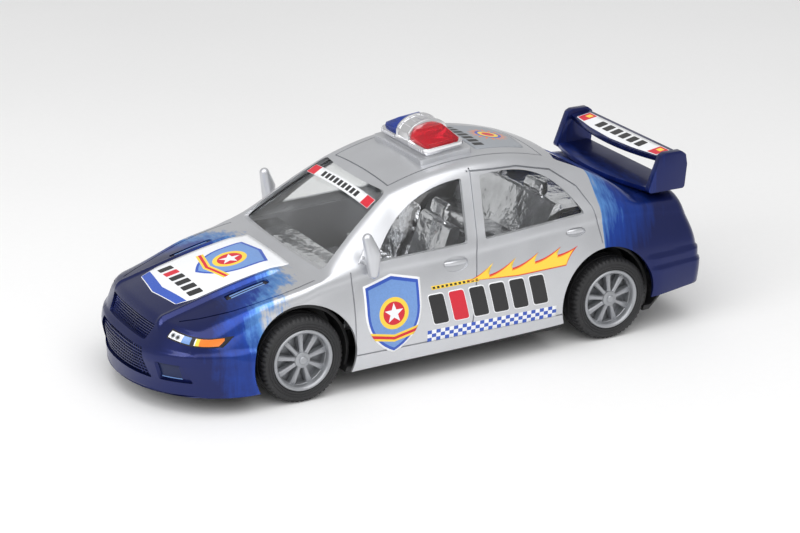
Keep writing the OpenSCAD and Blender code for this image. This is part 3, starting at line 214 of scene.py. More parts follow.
class BodyLoft:
    """The body as a row of cross sections from nose to tail."""

    SIDE_ROWS = 40
    TOP_HALF = 32
    FILLET_STEPS = 6
    PANEL_STEPS = (30, 14, 20, 12, 12)

    def __init__(self, sizes):
        s = self.s = sizes
        self.front_axle = AXLES["front_wheels"]
        self.rear_axle = AXLES["rear_wheels"]
        self.nose = s.body_length / 2
        self.tail = -self.nose
        self.cowl = self.nose - s.hood_length
        self.roof_front = self.cowl - s.windscreen_run
        self.roof_rear = self.roof_front - s.roof_run
        self.deck = self.roof_rear - s.rear_window_run
        self.breaks = (self.nose, self.cowl, self.roof_front, self.roof_rear, self.deck, self.tail)
        self.sweep_half = s.body_width / 2 + 0.3 * MM
        self.tail_blend = self.deck + 12 * MM

    def along(self, x, ends, rises):
        """Value along the car: one arc for each panel from nose to tail."""
        i = next((k for k in range(4) if x >= self.breaks[k + 1]), 4)
        t = (x - self.breaks[i]) / (self.breaks[i + 1] - self.breaks[i])
        return arch(t, ends[i], ends[i + 1], rises[i])

    def crown(self, x):
        s = self.s
        heights = (s.hood_front_z, s.cowl_z, s.roof_front_z, s.roof_rear_z, s.deck_z, s.tail_z)
        rises = (s.hood_rise, s.windscreen_rise, s.roof_rise, s.rear_window_rise, 0.5 * MM)
        return self.along(x, heights, rises)

    def edge_half(self, x):
        s = self.s
        widths = (s.hood_front_width, s.cowl_width, s.roof_front_width)
        widths += (s.roof_rear_width, s.deck_width, s.deck_width)
        return self.along(x, [w / 2 for w in widths], [r * MM for r in (1, 0.5, 1.5, 0, 0)])

    def edge_drop(self, x):
        drops = [d * MM for d in (0.8, 1.6, 1.6, 2.4, 1.2, 0.8)]
        return self.along(x, drops, [r * MM for r in (0.8, 0, 0.8, 0, 0)])

    def bottom(self, x):
        """Half width and height of the lower edge."""
        s = self.s
        front, rear = self.front_axle.x, self.rear_axle.x
        half = curve(
            [
                (self.tail, s.tail_width / 2 - 1.5 * MM),
                (self.deck, s.sill_width / 2),
                (self.nose, s.sill_width / 2),
            ],
            x,
        )
        height = curve(
            [
                (self.tail, s.tail_bottom_z),
                (rear - 17 * MM, s.tail_bottom_z - 1.5 * MM),
                (rear + 25 * MM, s.sill_rear_z),
                (front - 21 * MM, s.sill_front_z),
                (front + 23 * MM, s.nose_bottom_z),
                (self.nose, s.nose_bottom_z),
            ],
            x,
        )
        return Vector((half, height))

    def side_half(self, x):
        s = self.s
        return curve(
            [
                (self.tail, s.tail_width / 2),
                (self.deck, s.body_width / 2 - 0.5 * MM),
                (self.roof_rear, s.body_width / 2),
                (self.front_axle.x, s.body_width / 2),
                (self.nose, s.body_width / 2 - 0.4 * MM),
            ],
            x,
        )

    def shoulder(self, x):
        """Half width and height of the shoulder line."""
        s = self.s
        half = curve(
            [
                (self.tail, s.tail_shoulder_width / 2),
                (self.deck, s.shoulder_width / 2 - 2 * MM),
                (self.roof_rear, s.shoulder_width / 2 - 0.5 * MM),
                (self.roof_front, s.shoulder_width / 2),
                (self.cowl, s.shoulder_width / 2 - 0.5 * MM),
                (self.nose, s.nose_shoulder_width / 2),
            ],
            x,
        )
        height = curve(
            [
                (self.tail, s.tail_shoulder_z),
                (self.deck, s.belt_rear_z - 0.5 * MM),
                (self.roof_rear, s.belt_rear_z),
                (self.roof_front - 28 * MM, s.belt_mid_z),
                (self.roof_front + 12 * MM, s.belt_mid_z - 1 * MM),
                (self.cowl, s.belt_front_z),
                (self.front_axle.x, s.fender_z),
                (self.nose - 30 * MM, s.fender_z - 3.5 * MM),
                (self.nose, s.nose_shoulder_z),
            ],
            x,
        )
        return Vector((half, height))

    def ledge(self, x, z):
        """How far the bumpers stand proud of the sections."""
        s = self.s
        front = smooth((x - self.front_axle.x - 8 * MM) / (12 * MM))
        back = smooth((self.rear_axle.x - 14 * MM - x) / (8 * MM))
        proud = front * s.nose_ledge * smooth((s.nose_ledge_z - z) / (1.2 * MM))
        for step_z in (s.tail_lean_z + 1.2 * MM, s.tail_lean_z - 3.6 * MM):
            proud += back * s.tail_ledge * smooth((step_z - z) / (0.9 * MM))
        return proud

    def nose_plan(self, y, z):
        s = self.s
        rise = smooth((z - s.nose_bottom_z) / (s.hood_front_z - s.nose_bottom_z))
        power = lerp(2.1, s.hood_squareness, rise)
        reach = 1 - min(1.0, (abs(y) / self.sweep_half) ** power)
        return s.nose_sweep * (1 - reach ** (1 / power))

    def warp(self, x, y, z):
        """Bends the straight sections to the plan and lean of the nose and tail."""
        s = self.s
        front = smooth((x - self.cowl) / (self.nose - self.cowl))
        back = smooth((self.tail_blend - x) / (self.tail_blend - self.tail))
        nose_back = s.nose_lean * smooth((z - s.nose_lean_z) / (s.hood_front_z - s.nose_lean_z))
        tail_back = s.tail_lean * smooth((z - s.tail_lean_z) / (s.tail_z - s.tail_lean_z))
        proud = self.ledge(x, z)
        shift = front * (proud - self.nose_plan(y, z) - nose_back)
        shift += back * (s.tail_sweep * (y / self.sweep_half) ** 2 + tail_back - proud)
        return Vector((x + shift, y, z))

    def corners(self, x, d):
        """Shoulder and roof edge corners of a section, d below the skin."""
        shoulder = self.shoulder(x)
        edge = Vector((self.edge_half(x), self.crown(x) - self.edge_drop(x)))
        run = (edge - shoulder).normalized()
        normal = Vector((run.y, -run.x))
        inner_shoulder = shoulder - Vector((d, d * normal.y / (1 + normal.x)))
        inner_edge = edge - Vector((d * normal.x / (1 + normal.y), d))
        return inner_shoulder, inner_edge

    def relief(self, x, y):
        """Raised panel and its bead on the bonnet."""
        s = self.s
        on_hood = smooth((x - self.cowl - 4 * MM) / (8 * MM))
        panel = s.panel_rise * smooth((s.panel_width / 2 + 0.6 * MM - y) / (1.2 * MM))
        bead = s.bead_rise * math.exp(-(((y - s.panel_width / 2 + 1.2 * MM) / (1.1 * MM)) ** 2))
        return on_hood * (panel + bead)

    def half_section(self, x, d, foot):
        """Points from the lower edge to the shoulder, and from the shoulder to the middle."""
        s = self.s
        low = self.bottom(x) - Vector((d, foot))
        corner, edge = self.corners(x, d)

        def toward(a, b, radius):
            return a.lerp(b, min(0.45, radius / (b - a).length))

        p = toward(corner, self.bottom(x) - Vector((d, 0)), s.shoulder_radius)
        r = toward(corner, edge, s.shoulder_radius)
        u = toward(edge, corner, s.rail_radius)
        bulge = self.side_half(x) - d - (low.x + p.x) / 2
        side = []
        for t in steps(self.SIDE_ROWS - 4):
            z = lerp(low.y, p.y, t)
            side.append(Vector((arch(t, low.x, p.x, bulge) + self.ledge(x, z), z)))
        side += [bend(p, corner, r, t) for t in (0.125, 0.25, 0.375, 0.5)]

        def on_crown(y):
            z = lerp(self.crown(x) - d, edge.y, (y / edge.x) ** 2)
            return Vector((y, z + self.relief(x, y)))

        v = on_crown(edge.x - min(s.rail_radius, 0.1 * edge.x))
        top = [bend(p, corner, r, t) for t in (0.5, 0.625, 0.75, 0.875)]
        top += [r.lerp(u, t) for t in steps(7)]
        top += [bend(u, edge, v, t) for t in steps(5)[1:]]
        half_panel = s.panel_width / 2
        top += [on_crown(y) for y in steps(3, v.x, half_panel + 1 * MM)[1:]]
        top += [on_crown(y) for y in steps(8, half_panel + 1 * MM, half_panel - 3.8 * MM)[1:]]
        top += [on_crown(y) for y in steps(5, half_panel - 3.8 * MM, 0)[1:]]
        return side, top

    def stations(self, d, ends):
        """Sections from nose to tail as (x, depth)."""
        s = self.s
        angles = steps(self.FILLET_STEPS, 0, math.pi / 2)

        def end(x, radius, way):
            return [
                (x - way * (ends + radius * (1 - math.sin(a))), d + radius * (1 - math.cos(a)))
                for a in angles
            ]

        rows = end(self.nose, s.nose_fillet, 1)[::-1]
        limit = rows[-1][0]
        for i, count in enumerate(self.PANEL_STEPS):
            places = steps(count, self.breaks[i], self.breaks[i + 1])[:-1]
            rows += [(x, d) for x in places if x < limit - 0.5 * MM]
        rear = end(self.tail, s.tail_fillet, -1)
        rows = [row for row in rows if row[0] > rear[0][0] + 0.5 * MM]
        return rows + rear

    def solid(self, name, d=0.0, ends=0.0, foot=0.0):
        """The whole body as one closed mesh, d below the skin; foot lowers its lower edge."""
        rows = self.stations(d, ends)
        across = 2 * self.TOP_HALF
        side_rows = self.SIDE_ROWS
        verts, rings = [], []

        def keep(point):
            verts.append(point)
            return len(verts) - 1

        sections = []
        for x, depth in rows:
            side, half_top = self.half_section(x, depth, foot)
            top = half_top + [Vector((-q.x, q.y)) for q in half_top[-2::-1]]
            floor = [Vector((lerp(-1, 1, i / across) * side[0].x, side[0].y)) for i in range(across + 1)]
            sections.append((x, side, top))
            outline = side[:-1] + top + [Vector((-q.x, q.y)) for q in side[-2::-1]] + floor[1:-1]
            rings.append([keep(self.warp(x, q.x, q.y)) for q in outline])
        count = len(rings[0])
        faces = []
        for a, b in zip(rings, rings[1:]):
            faces += [(a[j], a[(j + 1) % count], b[(j + 1) % count], b[j]) for j in range(count)]
        for ring, (x, side, top), flip in ((rings[0], sections[0], False), (rings[-1], sections[-1], True)):
            grid = self.cap_grid(ring, x, side, top, keep)
            for r in range(side_rows):
                for c in range(across):
                    quad = (grid[r][c], grid[r][c + 1], grid[r + 1][c + 1], grid[r + 1][c])
                    faces.append(quad[::-1] if flip else quad)
        return mesh_object(name, verts, [face[::-1] for face in faces])

    def cap_grid(self, ring, x, side, top, keep):
        """Vertex rows that close one end of the body."""
        across = 2 * self.TOP_HALF
        last = self.SIDE_ROWS
        grid = []
        for r in range(last + 1):
            row = []
            rise = (side[r].y - side[0].y) / (side[-1].y - side[0].y)
            for c in range(across + 1):
                if c == 0:
                    row.append(ring[r])
                elif r == last:
                    row.append(ring[last + c])
                elif c == across:
                    row.append(ring[2 * last + across - r])
                elif r == 0:
                    row.append(ring[2 * last + 2 * across - c])
                else:
                    y = top[c].x * side[r].x / side[-1].x
                    row.append(keep(self.warp(x, y, side[r].y + (top[c].y - top[0].y) * rise)))
            grid.append(row)
        return grid


# Meshes


def mesh_object(name, verts, faces):
    mesh = bpy.data.meshes.new(name)
    mesh.from_pydata([tuple(v) for v in verts], [], faces)
    mesh.update()
    obj = bpy.data.objects.new(name, mesh)
    bpy.context.scene.collection.objects.link(obj)
    return obj


def from_bmesh(name, bm):
    mesh = bpy.data.meshes.new(name)
    bm.to_mesh(mesh)
    bm.free()
    obj = bpy.data.objects.new(name, mesh)
    bpy.context.scene.collection.objects.link(obj)
    return obj


def spread(axis, place, p):
    """Point of a flat outline, set at a place along X, Y or Z."""
    return {
        "X": Vector((place, p[0], p[1])),
        "Y": Vector((p[0], place, p[1])),
        "Z": Vector((p[0], p[1], place)),
    }[axis]


def prism(name, outline, axis, low, high):
    """Outline drawn out from low to high along an axis."""
    count = len(outline)
    verts = [spread(axis, low, p) for p in outline] + [spread(axis, high, p) for p in outline]
    faces = [(i, (i + 1) % count, count + (i + 1) % count, count + i) for i in range(count)]
    faces += [tuple(range(count - 1, -1, -1)), tuple(range(count, 2 * count))]
    obj = mesh_object(name, verts, faces)
    bm = bmesh.new()
    bm.from_mesh(obj.data)
    bmesh.ops.recalc_face_normals(bm, faces=bm.faces)
    bm.to_mesh(obj.data)
    bm.free()
    return obj


def box_object(name, low, high):
    outline = [(low[0], low[1]), (high[0], low[1]), (high[0], high[1]), (low[0], high[1])]
    return prism(name, outline, "Z", low[2], high[2])


def turned(name, profile, count, closed=True):
    """Profile of (radius, place) turned round the Y axis."""
    verts, faces = [], []
    for i in range(count):
        a = 2 * math.pi * i / count
        verts += [Vector((r * math.cos(a), y, r * math.sin(a))) for r, y in profile]
    n = len(profile)
    for i in range(count):
        j = (i + 1) % count
        for k in range(n if closed else n - 1):
            m = (k + 1) % n
            faces.append((i * n + k, i * n + m, j * n + m, j * n + k))
    obj = mesh_object(name, verts, faces)
    bm = bmesh.new()
    bm.from_mesh(obj.data)
    bmesh.ops.remove_doubles(bm, verts=bm.verts, dist=1e-7)
    bmesh.ops.recalc_face_normals(bm, faces=bm.faces)
    bm.to_mesh(obj.data)
    bm.free()
    return obj


def settle(obj):
    """Turns the object's modifiers into mesh."""
    bpy.context.view_layer.update()
    graph = bpy.context.evaluated_depsgraph_get()
    mesh = bpy.data.meshes.new_from_object(obj.evaluated_get(graph))
    obj.modifiers.clear()
    obj.data = mesh
    return obj


def combine(target, tool, how="DIFFERENCE"):
    """Cuts a tool out of the target, or joins it on, and removes the tool."""
    change = target.modifiers.new("combine", "BOOLEAN")
    change.operation = how
    change.solver = "MANIFOLD"
    change.object = tool
    settle(target)
    bpy.data.objects.remove(tool)
    return target


def join(name, objects):
    """One mesh of several, each kept as its own closed shell, materials with them."""
    bm = bmesh.new()
    materials = []
    for obj in objects:
        settle(obj)
        start = len(bm.faces)
        index = []
        for material in obj.data.materials:
            if material not in materials:
                materials.append(material)
            index.append(materials.index(material))
        obj.data.transform(obj.matrix_world)
        bm.from_mesh(obj.data)
        bm.faces.ensure_lookup_table()
        for face in bm.faces[start:]:
            face.material_index = index[face.material_index] if index else 0
        bpy.data.objects.remove(obj)
    made = from_bmesh(name, bm)
    for material in materials:
        made.data.materials.append(material)
    return made


def moved(obj, matrix):
    obj.data.transform(matrix)
    obj.data.update()
    return obj


def twin(obj, name, matrix):
    """A copy set by a matrix, with its faces kept outward when the matrix mirrors."""
    mesh = obj.data.copy()
    mesh.transform(matrix)
    if matrix.determinant() < 0:
        mesh.flip_normals()
    made = bpy.data.objects.new(name, mesh)
    bpy.context.scene.collection.objects.link(made)
    return made


MIRROR = Matrix.Diagonal((1, -1, 1, 1))


def shade(obj, angle=35):
    """Smooth shading that keeps edges sharper than an angle in degrees."""
    obj.data.shade_smooth()
    obj.data.set_sharp_from_angle(angle=math.radians(angle))
    return obj


def soften(obj, width, segments=2, angle=30):
    """Small rounds on the sharp edges."""
    change = obj.modifiers.new("soften", "BEVEL")
    change.width = width
    change.segments = segments
    change.limit_method = "ANGLE"
    change.angle_limit = math.radians(angle)
    change.harden_normals = False
    return obj


def rounded(points, radius, count=5):
    """Closed outline with its corners rounded."""
    out = []
    total = len(points)
    for i, p in enumerate(points):
        corner = Vector(p)
        before, after = Vector(points[i - 1]), Vector(points[(i + 1) % total])
        reach = min(radius, 0.45 * (corner - before).length, 0.45 * (after - corner).length)
        start = corner + (before - corner).normalized() * reach
        end = corner + (after - corner).normalized() * reach
        out += [tuple(bend(start, corner, end, t)) for t in steps(count)]
    return out


def band(points, width):
    """Closed outline of even width along a row of points."""
    left, right = [], []
    for i, p in enumerate(points):
        a = Vector(points[max(i - 1, 0)])
        b = Vector(points[min(i + 1, len(points) - 1)])
        run = (b - a).normalized()
        side = Vector((-run.y, run.x)) * width / 2
        left.append(tuple(Vector(p) + side))
        right.append(tuple(Vector(p) - side))
    return left + right[::-1]


def swept(name, path, section, closed=False):
    """Section (list of 2D offsets) carried along a path of points."""
    count = len(section)
    verts, faces = [], []
    last = len(path) - 1
    for i, p in enumerate(path):
        p = Vector(p)
        if closed:
            run = Vector(path[(i + 1) % len(path)]) - Vector(path[i - 1])
        else:
            run = Vector(path[min(i + 1, last)]) - Vector(path[max(i - 1, 0)])
        run.normalize()
        up = Vector((0, 0, 1)) if abs(run.z) < 0.95 else Vector((0, 1, 0))
        side = run.cross(up).normalized()
        up = side.cross(run)
        verts += [p + side * a + up * b for a, b in section]
    rows = len(path) if closed else last
    for i in range(rows):
        j = (i + 1) % len(path)
        for k in range(count):
            m = (k + 1) % count
            faces.append((i * count + k, i * count + m, j * count + m, j * count + k))
    if not closed:
        faces.append(tuple(range(count - 1, -1, -1)))
        faces.append(tuple(range(last * count, (last + 1) * count)))
    obj = mesh_object(name, verts, faces)
    bm = bmesh.new()
    bm.from_mesh(obj.data)
    bmesh.ops.recalc_face_normals(bm, faces=bm.faces)
    bm.to_mesh(obj.data)
    bm.free()
    return obj


def circle(radius, count):
    return [
        (radius * math.cos(2 * math.pi * i / count), radius * math.sin(2 * math.pi * i / count))
        for i in range(count)
    ]


class Skin:
    """An uncut surface, to lay stickers on and to take smooth normals from."""

    def __init__(self, obj):
        mesh = obj.data
        mesh.calc_loop_triangles()
        self.points = [v.co.copy() for v in mesh.vertices]
        self.normals = [v.normal.copy() for v in mesh.vertices]
        self.tris = [tuple(t.vertices) for t in mesh.loop_triangles]
        self.tree = BVHTree.FromPolygons(self.points, self.tris)

    def normal_at(self, place, index):
        a, b, c = self.tris[index]
        normal = barycentric_transform(
            place,
            self.points[a],
            self.points[b],
            self.points[c],
            self.normals[a],
            self.normals[b],
            self.normals[c],
        )
        return normal.normalized()

    def nearest(self, point):
        place, _, index, distance = self.tree.find_nearest(point)
        return place, self.normal_at(place, index), distance

    def cast(self, start, way):
        place, _, index, _ = self.tree.ray_cast(start, way)
        if place is None:
            raise ValueError(f"nothing lies under {tuple(start)}")
        return place, self.normal_at(place, index)

    def on_top(self, u, v):
        return self.cast(Vector((u * MM, v * MM, 0.2)), Vector((0, 0, -1)))

    def on_side(self, u, v, side=1):
        return self.cast(Vector((u * MM, side * 0.2, v * MM)), Vector((0, -side, 0)))

    def on_front(self, u, v):
        return self.cast(Vector((0.4, u * MM, v * MM)), Vector((-1, 0, 0)))

    def on_back(self, u, v):
        return self.cast(Vector((-0.4, u * MM, v * MM)), Vector((1, 0, 0)))

    def dress(self, obj, within=0.02 * MM, cosine=0.8):
        """Gives a cut copy of the surface the uncut surface's normals."""
        mesh = obj.data
        mesh.shade_smooth()
        mesh.set_sharp_from_angle(angle=math.radians(30))
        found = []
        for vertex in mesh.vertices:
            _, normal, distance = self.nearest(vertex.co)
            found.append(normal if distance < within else None)
        own = [c.vector.copy() for c in mesh.corner_normals]
        for face in mesh.polygons:
            for k in face.loop_indices:
                normal = found[mesh.loops[k].vertex_index]
                if normal is not None and normal.dot(face.normal) > cosine:
                    own[k] = normal
        mesh.normals_split_custom_set(own)


def dense(outline, spacing):
    """Outline with its long edges split."""
    out = []
    for i, p in enumerate(outline):
        a, b = Vector(outline[i - 1]), Vector(p)
        count = max(1, math.ceil((b - a).length / spacing))
        out += [tuple(a.lerp(b, t)) for t in steps(count)[1:]]
    return out


def anticlockwise(outline):
    area = sum(a[0] * b[1] - b[0] * a[1] for a, b in zip(outline, [*outline[1:], outline[0]]))
    return outline if area > 0 else outline[::-1]


def laid(name, layers, project, lift, spacing=2.0, thickness=0.06 * MM):
    """Thin sheet of coloured shapes laid on a surface; later shapes lie on earlier ones.

    Shapes are (outline, material) in millimetres, the first one bounds the sheet."""
    points, faces = [], []
    for outline, _ in layers:
        shape = dense(anticlockwise(outline), spacing)
        faces.append(list(range(len(points), len(points) + len(shape))))
        points += [Vector(p) for p in shape]
    low = [min(p[i] for p in points) for i in (0, 1)]
    high = [max(p[i] for p in points) for i in (0, 1)]
    for u in steps(max(2, int((high[0] - low[0]) / spacing)), low[0], high[0])[1:-1]:
        for v in steps(max(2, int((high[1] - low[1]) / spacing)), low[1], high[1])[1:-1]:
            points.append(Vector((u, v)))
    flat, _, tris, _, _, source = delaunay_2d_cdt(points, [], faces, 1, 1e-5, True)
    used = [i for i, ids in enumerate(source) if 0 in ids]
    verts = []
    for p in flat:
        place, normal = project(p.x, p.y)
        verts.append(place + normal * lift)
    materials = []
    for _, material in layers:
        if material not in materials:
            materials.append(material)
    bm = bmesh.new()
    made = [bm.verts.new(v) for v in verts]
    for i in used:
        tri = [made[k] for k in tris[i]]
        face = bm.faces.new(tri)
        face.material_index = materials.index(layers[max(source[i])][1])
        face.smooth = True
    bm.normal_update()
    outward = project(*centre_of(flat, tris[used[0]]))[1]
    wrong = sum(1 for f in bm.faces if f.normal.dot(outward) < 0)
    if wrong > len(bm.faces) / 2:
        bmesh.ops.reverse_faces(bm, faces=bm.faces[:])
    bmesh.ops.delete(bm, geom=[v for v in bm.verts if not v.link_faces], context="VERTS")
    obj = from_bmesh(name, bm)
    for material in materials:
        obj.data.materials.append(material)
    thick = obj.modifiers.new("thickness", "SOLIDIFY")
    thick.thickness = thickness
    thick.offset = -1
    return obj


def centre_of(flat, tri):
    middle = sum((flat[k] for k in tri), Vector((0, 0))) / 3
    return middle.x, middle.y


# Finishes


class Finish:
    """A new material and short ways to add its nodes."""

    def __init__(self, name, base, metallic=0.0, roughness=0.4):
        self.material = bpy.data.materials.new(name)
        self.material.use_nodes = True
        self.tree = self.material.node_tree
        self.shader = next(n for n in self.tree.nodes if n.type == "BSDF_PRINCIPLED")
        self.set("Base Color", (*base, 1))
        self.set("Metallic", metallic)
        self.set("Roughness", roughness)
        self.place = self.tree.nodes.new("ShaderNodeTexCoord").outputs["Object"]

    def set(self, socket, value):
        self.shader.inputs[socket].default_value = value
        return self

    def link(self, output, socket):
        self.tree.links.new(output, self.shader.inputs[socket])
        return self

    def feed(self, socket, value):
        if isinstance(value, bpy.types.NodeSocket):
            self.tree.links.new(value, socket)
        else:
            socket.default_value = value

    def math(self, operation, a, b=0.0, c=0.0, clamped=False):
        node = self.tree.nodes.new("ShaderNodeMath")
        node.operation = operation
        node.use_clamp = clamped
        for socket, value in zip(node.inputs, (a, b, c)):
            self.feed(socket, value)
        return node.outputs[0]

    def span(self, value, low, high, start=0.0, end=1.0):
        """Smooth step of a value between two limits."""
        node = self.tree.nodes.new("ShaderNodeMapRange")
        node.interpolation_type = "SMOOTHSTEP"
        for socket, given in zip(node.inputs[:5], (value, low, high, start, end)):
            self.feed(socket, given)
        return node.outputs[0]

    def axes(self):
        node = self.tree.nodes.new("ShaderNodeSeparateXYZ")
        self.feed(node.inputs[0], self.place)
        return node.outputs

    def stretched(self, scale):
        node = self.tree.nodes.new("ShaderNodeMapping")
        node.inputs["Scale"].default_value = scale
        self.feed(node.inputs["Vector"], self.place)
        return node.outputs[0]

    def noise(self, scale, detail=3.0, roughness=0.55, vector=None):
        node = self.tree.nodes.new("ShaderNodeTexNoise")
        node.inputs["Scale"].default_value = scale
        node.inputs["Detail"].default_value = detail
        node.inputs["Roughness"].default_value = roughness
        self.feed(node.inputs["Vector"], self.place if vector is None else vector)
        return node.outputs["Fac"]

    def ramp(self, value, stops):
        node = self.tree.nodes.new("ShaderNodeValToRGB")
        points = node.color_ramp.elements
        while len(points) < len(stops):
            points.new(0.5)
        for point, (place, rgb) in zip(points, stops):
            point.position = place
            point.color = (*rgb, 1)
        self.feed(node.inputs[0], value)
        return node.outputs[0]

    def mix(self, factor, a, b):
        node = self.tree.nodes.new("ShaderNodeMix")
        node.data_type = "RGBA"
        self.feed(node.inputs[0], factor)
        for socket, value in ((node.inputs[6], a), (node.inputs[7], b)):
            self.feed(socket, (*value, 1) if isinstance(value, (tuple, list)) else value)
        return node.outputs[2]

    def bump(self, height, strength, distance=0.05 * MM):
        node = self.tree.nodes.new("ShaderNodeBump")
        node.inputs["Strength"].default_value = strength
        node.inputs["Distance"].default_value = distance
        self.feed(node.inputs["Height"], height)
        return self.link(node.outputs[0], "Normal")


def scaled(rgb, factor):
    return tuple(min(1.0, c * factor) for c in rgb)


def grained(name, base, metallic=0.0, roughness=0.4, grain=900.0, spread_by=0.12, wear=60.0, strength=0.0):
    """A moulded or printed finish: fine grain and broad unevenness in colour and gloss."""
    made = Finish(name, base, metallic, roughness)
    fine = made.noise(grain, 2)
    broad = made.noise(wear, 4)
    shift = made.math("ADD", made.math("MULTIPLY", fine, 0.5), made.math("MULTIPLY", broad, 0.5))
    tones = [(0.3, scaled(base, 1 - spread_by)), (0.7, scaled(base, 1 + spread_by))]
    made.link(made.ramp(shift, tones), "Base Color")
    made.link(made.span(broad, 0.25, 0.75, roughness * 0.85, min(1, roughness * 1.2)), "Roughness")
    if strength:
        made.bump(fine, strength)
    return made.material


class PaintColours(bpy.types.PropertyGroup):
    """Colours of the paint, plastics and stickers."""

    silver: colour("Silver", (0.60, 0.61, 0.635), "Metallic silver of the doors and roof")
    sky: colour("Thin blue", (0.12, 0.32, 0.72), "Blue where its coat is thin")
    blue: colour("Blue", (0.010, 0.055, 0.36), "Blue of a full coat")
    navy: colour("Deep blue", (0.007, 0.014, 0.10), "Blue where its coat is heavy")
    chrome: colour("Bright metal", (0.86, 0.86, 0.88), "Metallised cabin and light bar")
    black: colour("Black", (0.012, 0.012, 0.013), "Chassis and tyres")
    red: colour("Red", (0.62, 0.012, 0.03), "Red lens and red print")
    lens_blue: colour("Lens blue", (0.01, 0.08, 0.62), "Blue lens")
    white: colour("Sticker white", (0.83, 0.84, 0.86), "Ground of the stickers")
    print_blue: colour("Print blue", (0.03, 0.09, 0.46), "Blue print")
    yellow: colour("Yellow", (0.90, 0.62, 0.06), "Yellow print")
    orange: colour("Orange", (0.85, 0.20, 0.02), "Orange print")
    wheel: colour("Wheel", (0.36, 0.37, 0.39), "Silver grey of the wheels")


def body_finish(colours):
    """Silver with a sprayed blue nose and tail."""
    made = Finish("body_paint", colours.silver, 0.75, 0.32)
    x, y, z = made.axes()
    spray = made.noise(55, 6, 0.62)
    streak = made.noise(1.0, 5, 0.6, made.stretched((520, 160, 42)))
    wander = made.math("ADD", made.math("MULTIPLY", spray, 0.030), made.math("MULTIPLY", streak, 0.016))
    height = made.span(z, 0.030, 0.048)
    width = made.math("ABSOLUTE", y)
    sweep = made.span(width, 0.024, 0.042, 0.084, 0.096)
    edge = made.math("ADD", sweep, made.math("MULTIPLY", height, -0.004))
    front = made.math("SUBTRACT", made.math("ADD", x, wander), edge)
    low_front = made.span(z, 0.010, 0.034, 0.006, 0.0)
    front = made.math("DIVIDE", made.math("ADD", front, low_front), 0.034)
    past = made.math("SUBTRACT", -0.0695, made.math("ADD", x, made.math("MULTIPLY", wander, 0.05)))
    rear_gate = made.span(past, -0.0002, 0.0004)
    rear_depth = made.math("ADD", made.math("DIVIDE", past, 0.050), made.math("MULTIPLY", streak, 0.55))
    dip = made.span(z, 0.020, 0.056, 0.45, -0.05)
    rear = made.math("MULTIPLY", rear_gate, made.math("ADD", rear_depth, dip, 0.0, True))
    coat = made.math("MAXIMUM", made.math("MULTIPLY", front, 1.0, 0.0, True), rear)
    blue = made.ramp(
        coat,
        [
            (0.0, scaled(colours.silver, 0.92)),
            (0.2, colours.sky),
            (0.42, colours.blue),
            (0.85, colours.navy),
        ],
    )
    fleck = made.noise(5200, 2)
    silver = made.ramp(
        made.math("ADD", made.math("MULTIPLY", fleck, 0.35), made.math("MULTIPLY", made.noise(30, 3), 0.65)),
        [(0.3, scaled(colours.silver, 0.88)), (0.7, scaled(colours.silver, 1.08))],
    )
    made.link(made.mix(made.span(coat, 0.02, 0.12), silver, blue), "Base Color")
    made.link(made.span(made.noise(70, 4), 0.3, 0.7, 0.28, 0.4), "Roughness")
    made.set("Coat Weight", 0.35).set("Coat Roughness", 0.12)
    made.bump(fleck, 0.05)
    return made.material


def clear_finish(name, tint, roughness=0.03, transmission=1.0):
    made = Finish(name, tint, 0.0, roughness)
    made.set("Transmission Weight", transmission).set("IOR", 1.46)
    made.bump(made.noise(140, 3), 0.15, 0.1 * MM)
    made.link(made.span(made.noise(90, 4), 0.3, 0.8, roughness * 0.6, roughness * 2.2), "Roughness")
    return made.material


def crinkled(name, base):
    """Metallised film with soft creases, its colour darkened down in the creases as painted shade."""
    made = Finish(name, base, 1.0, 0.16)
    crease = made.noise(150, 3, 0.5)
    # Painted shade: the colour drops to four fifths where the crease pattern is low, down in the creases.
    made.link(made.ramp(crease, [(0.35, scaled(base, 0.8)), (0.6, base)]), "Base Color")
    made.bump(crease, 0.8, 1.2 * MM)
    return made.material


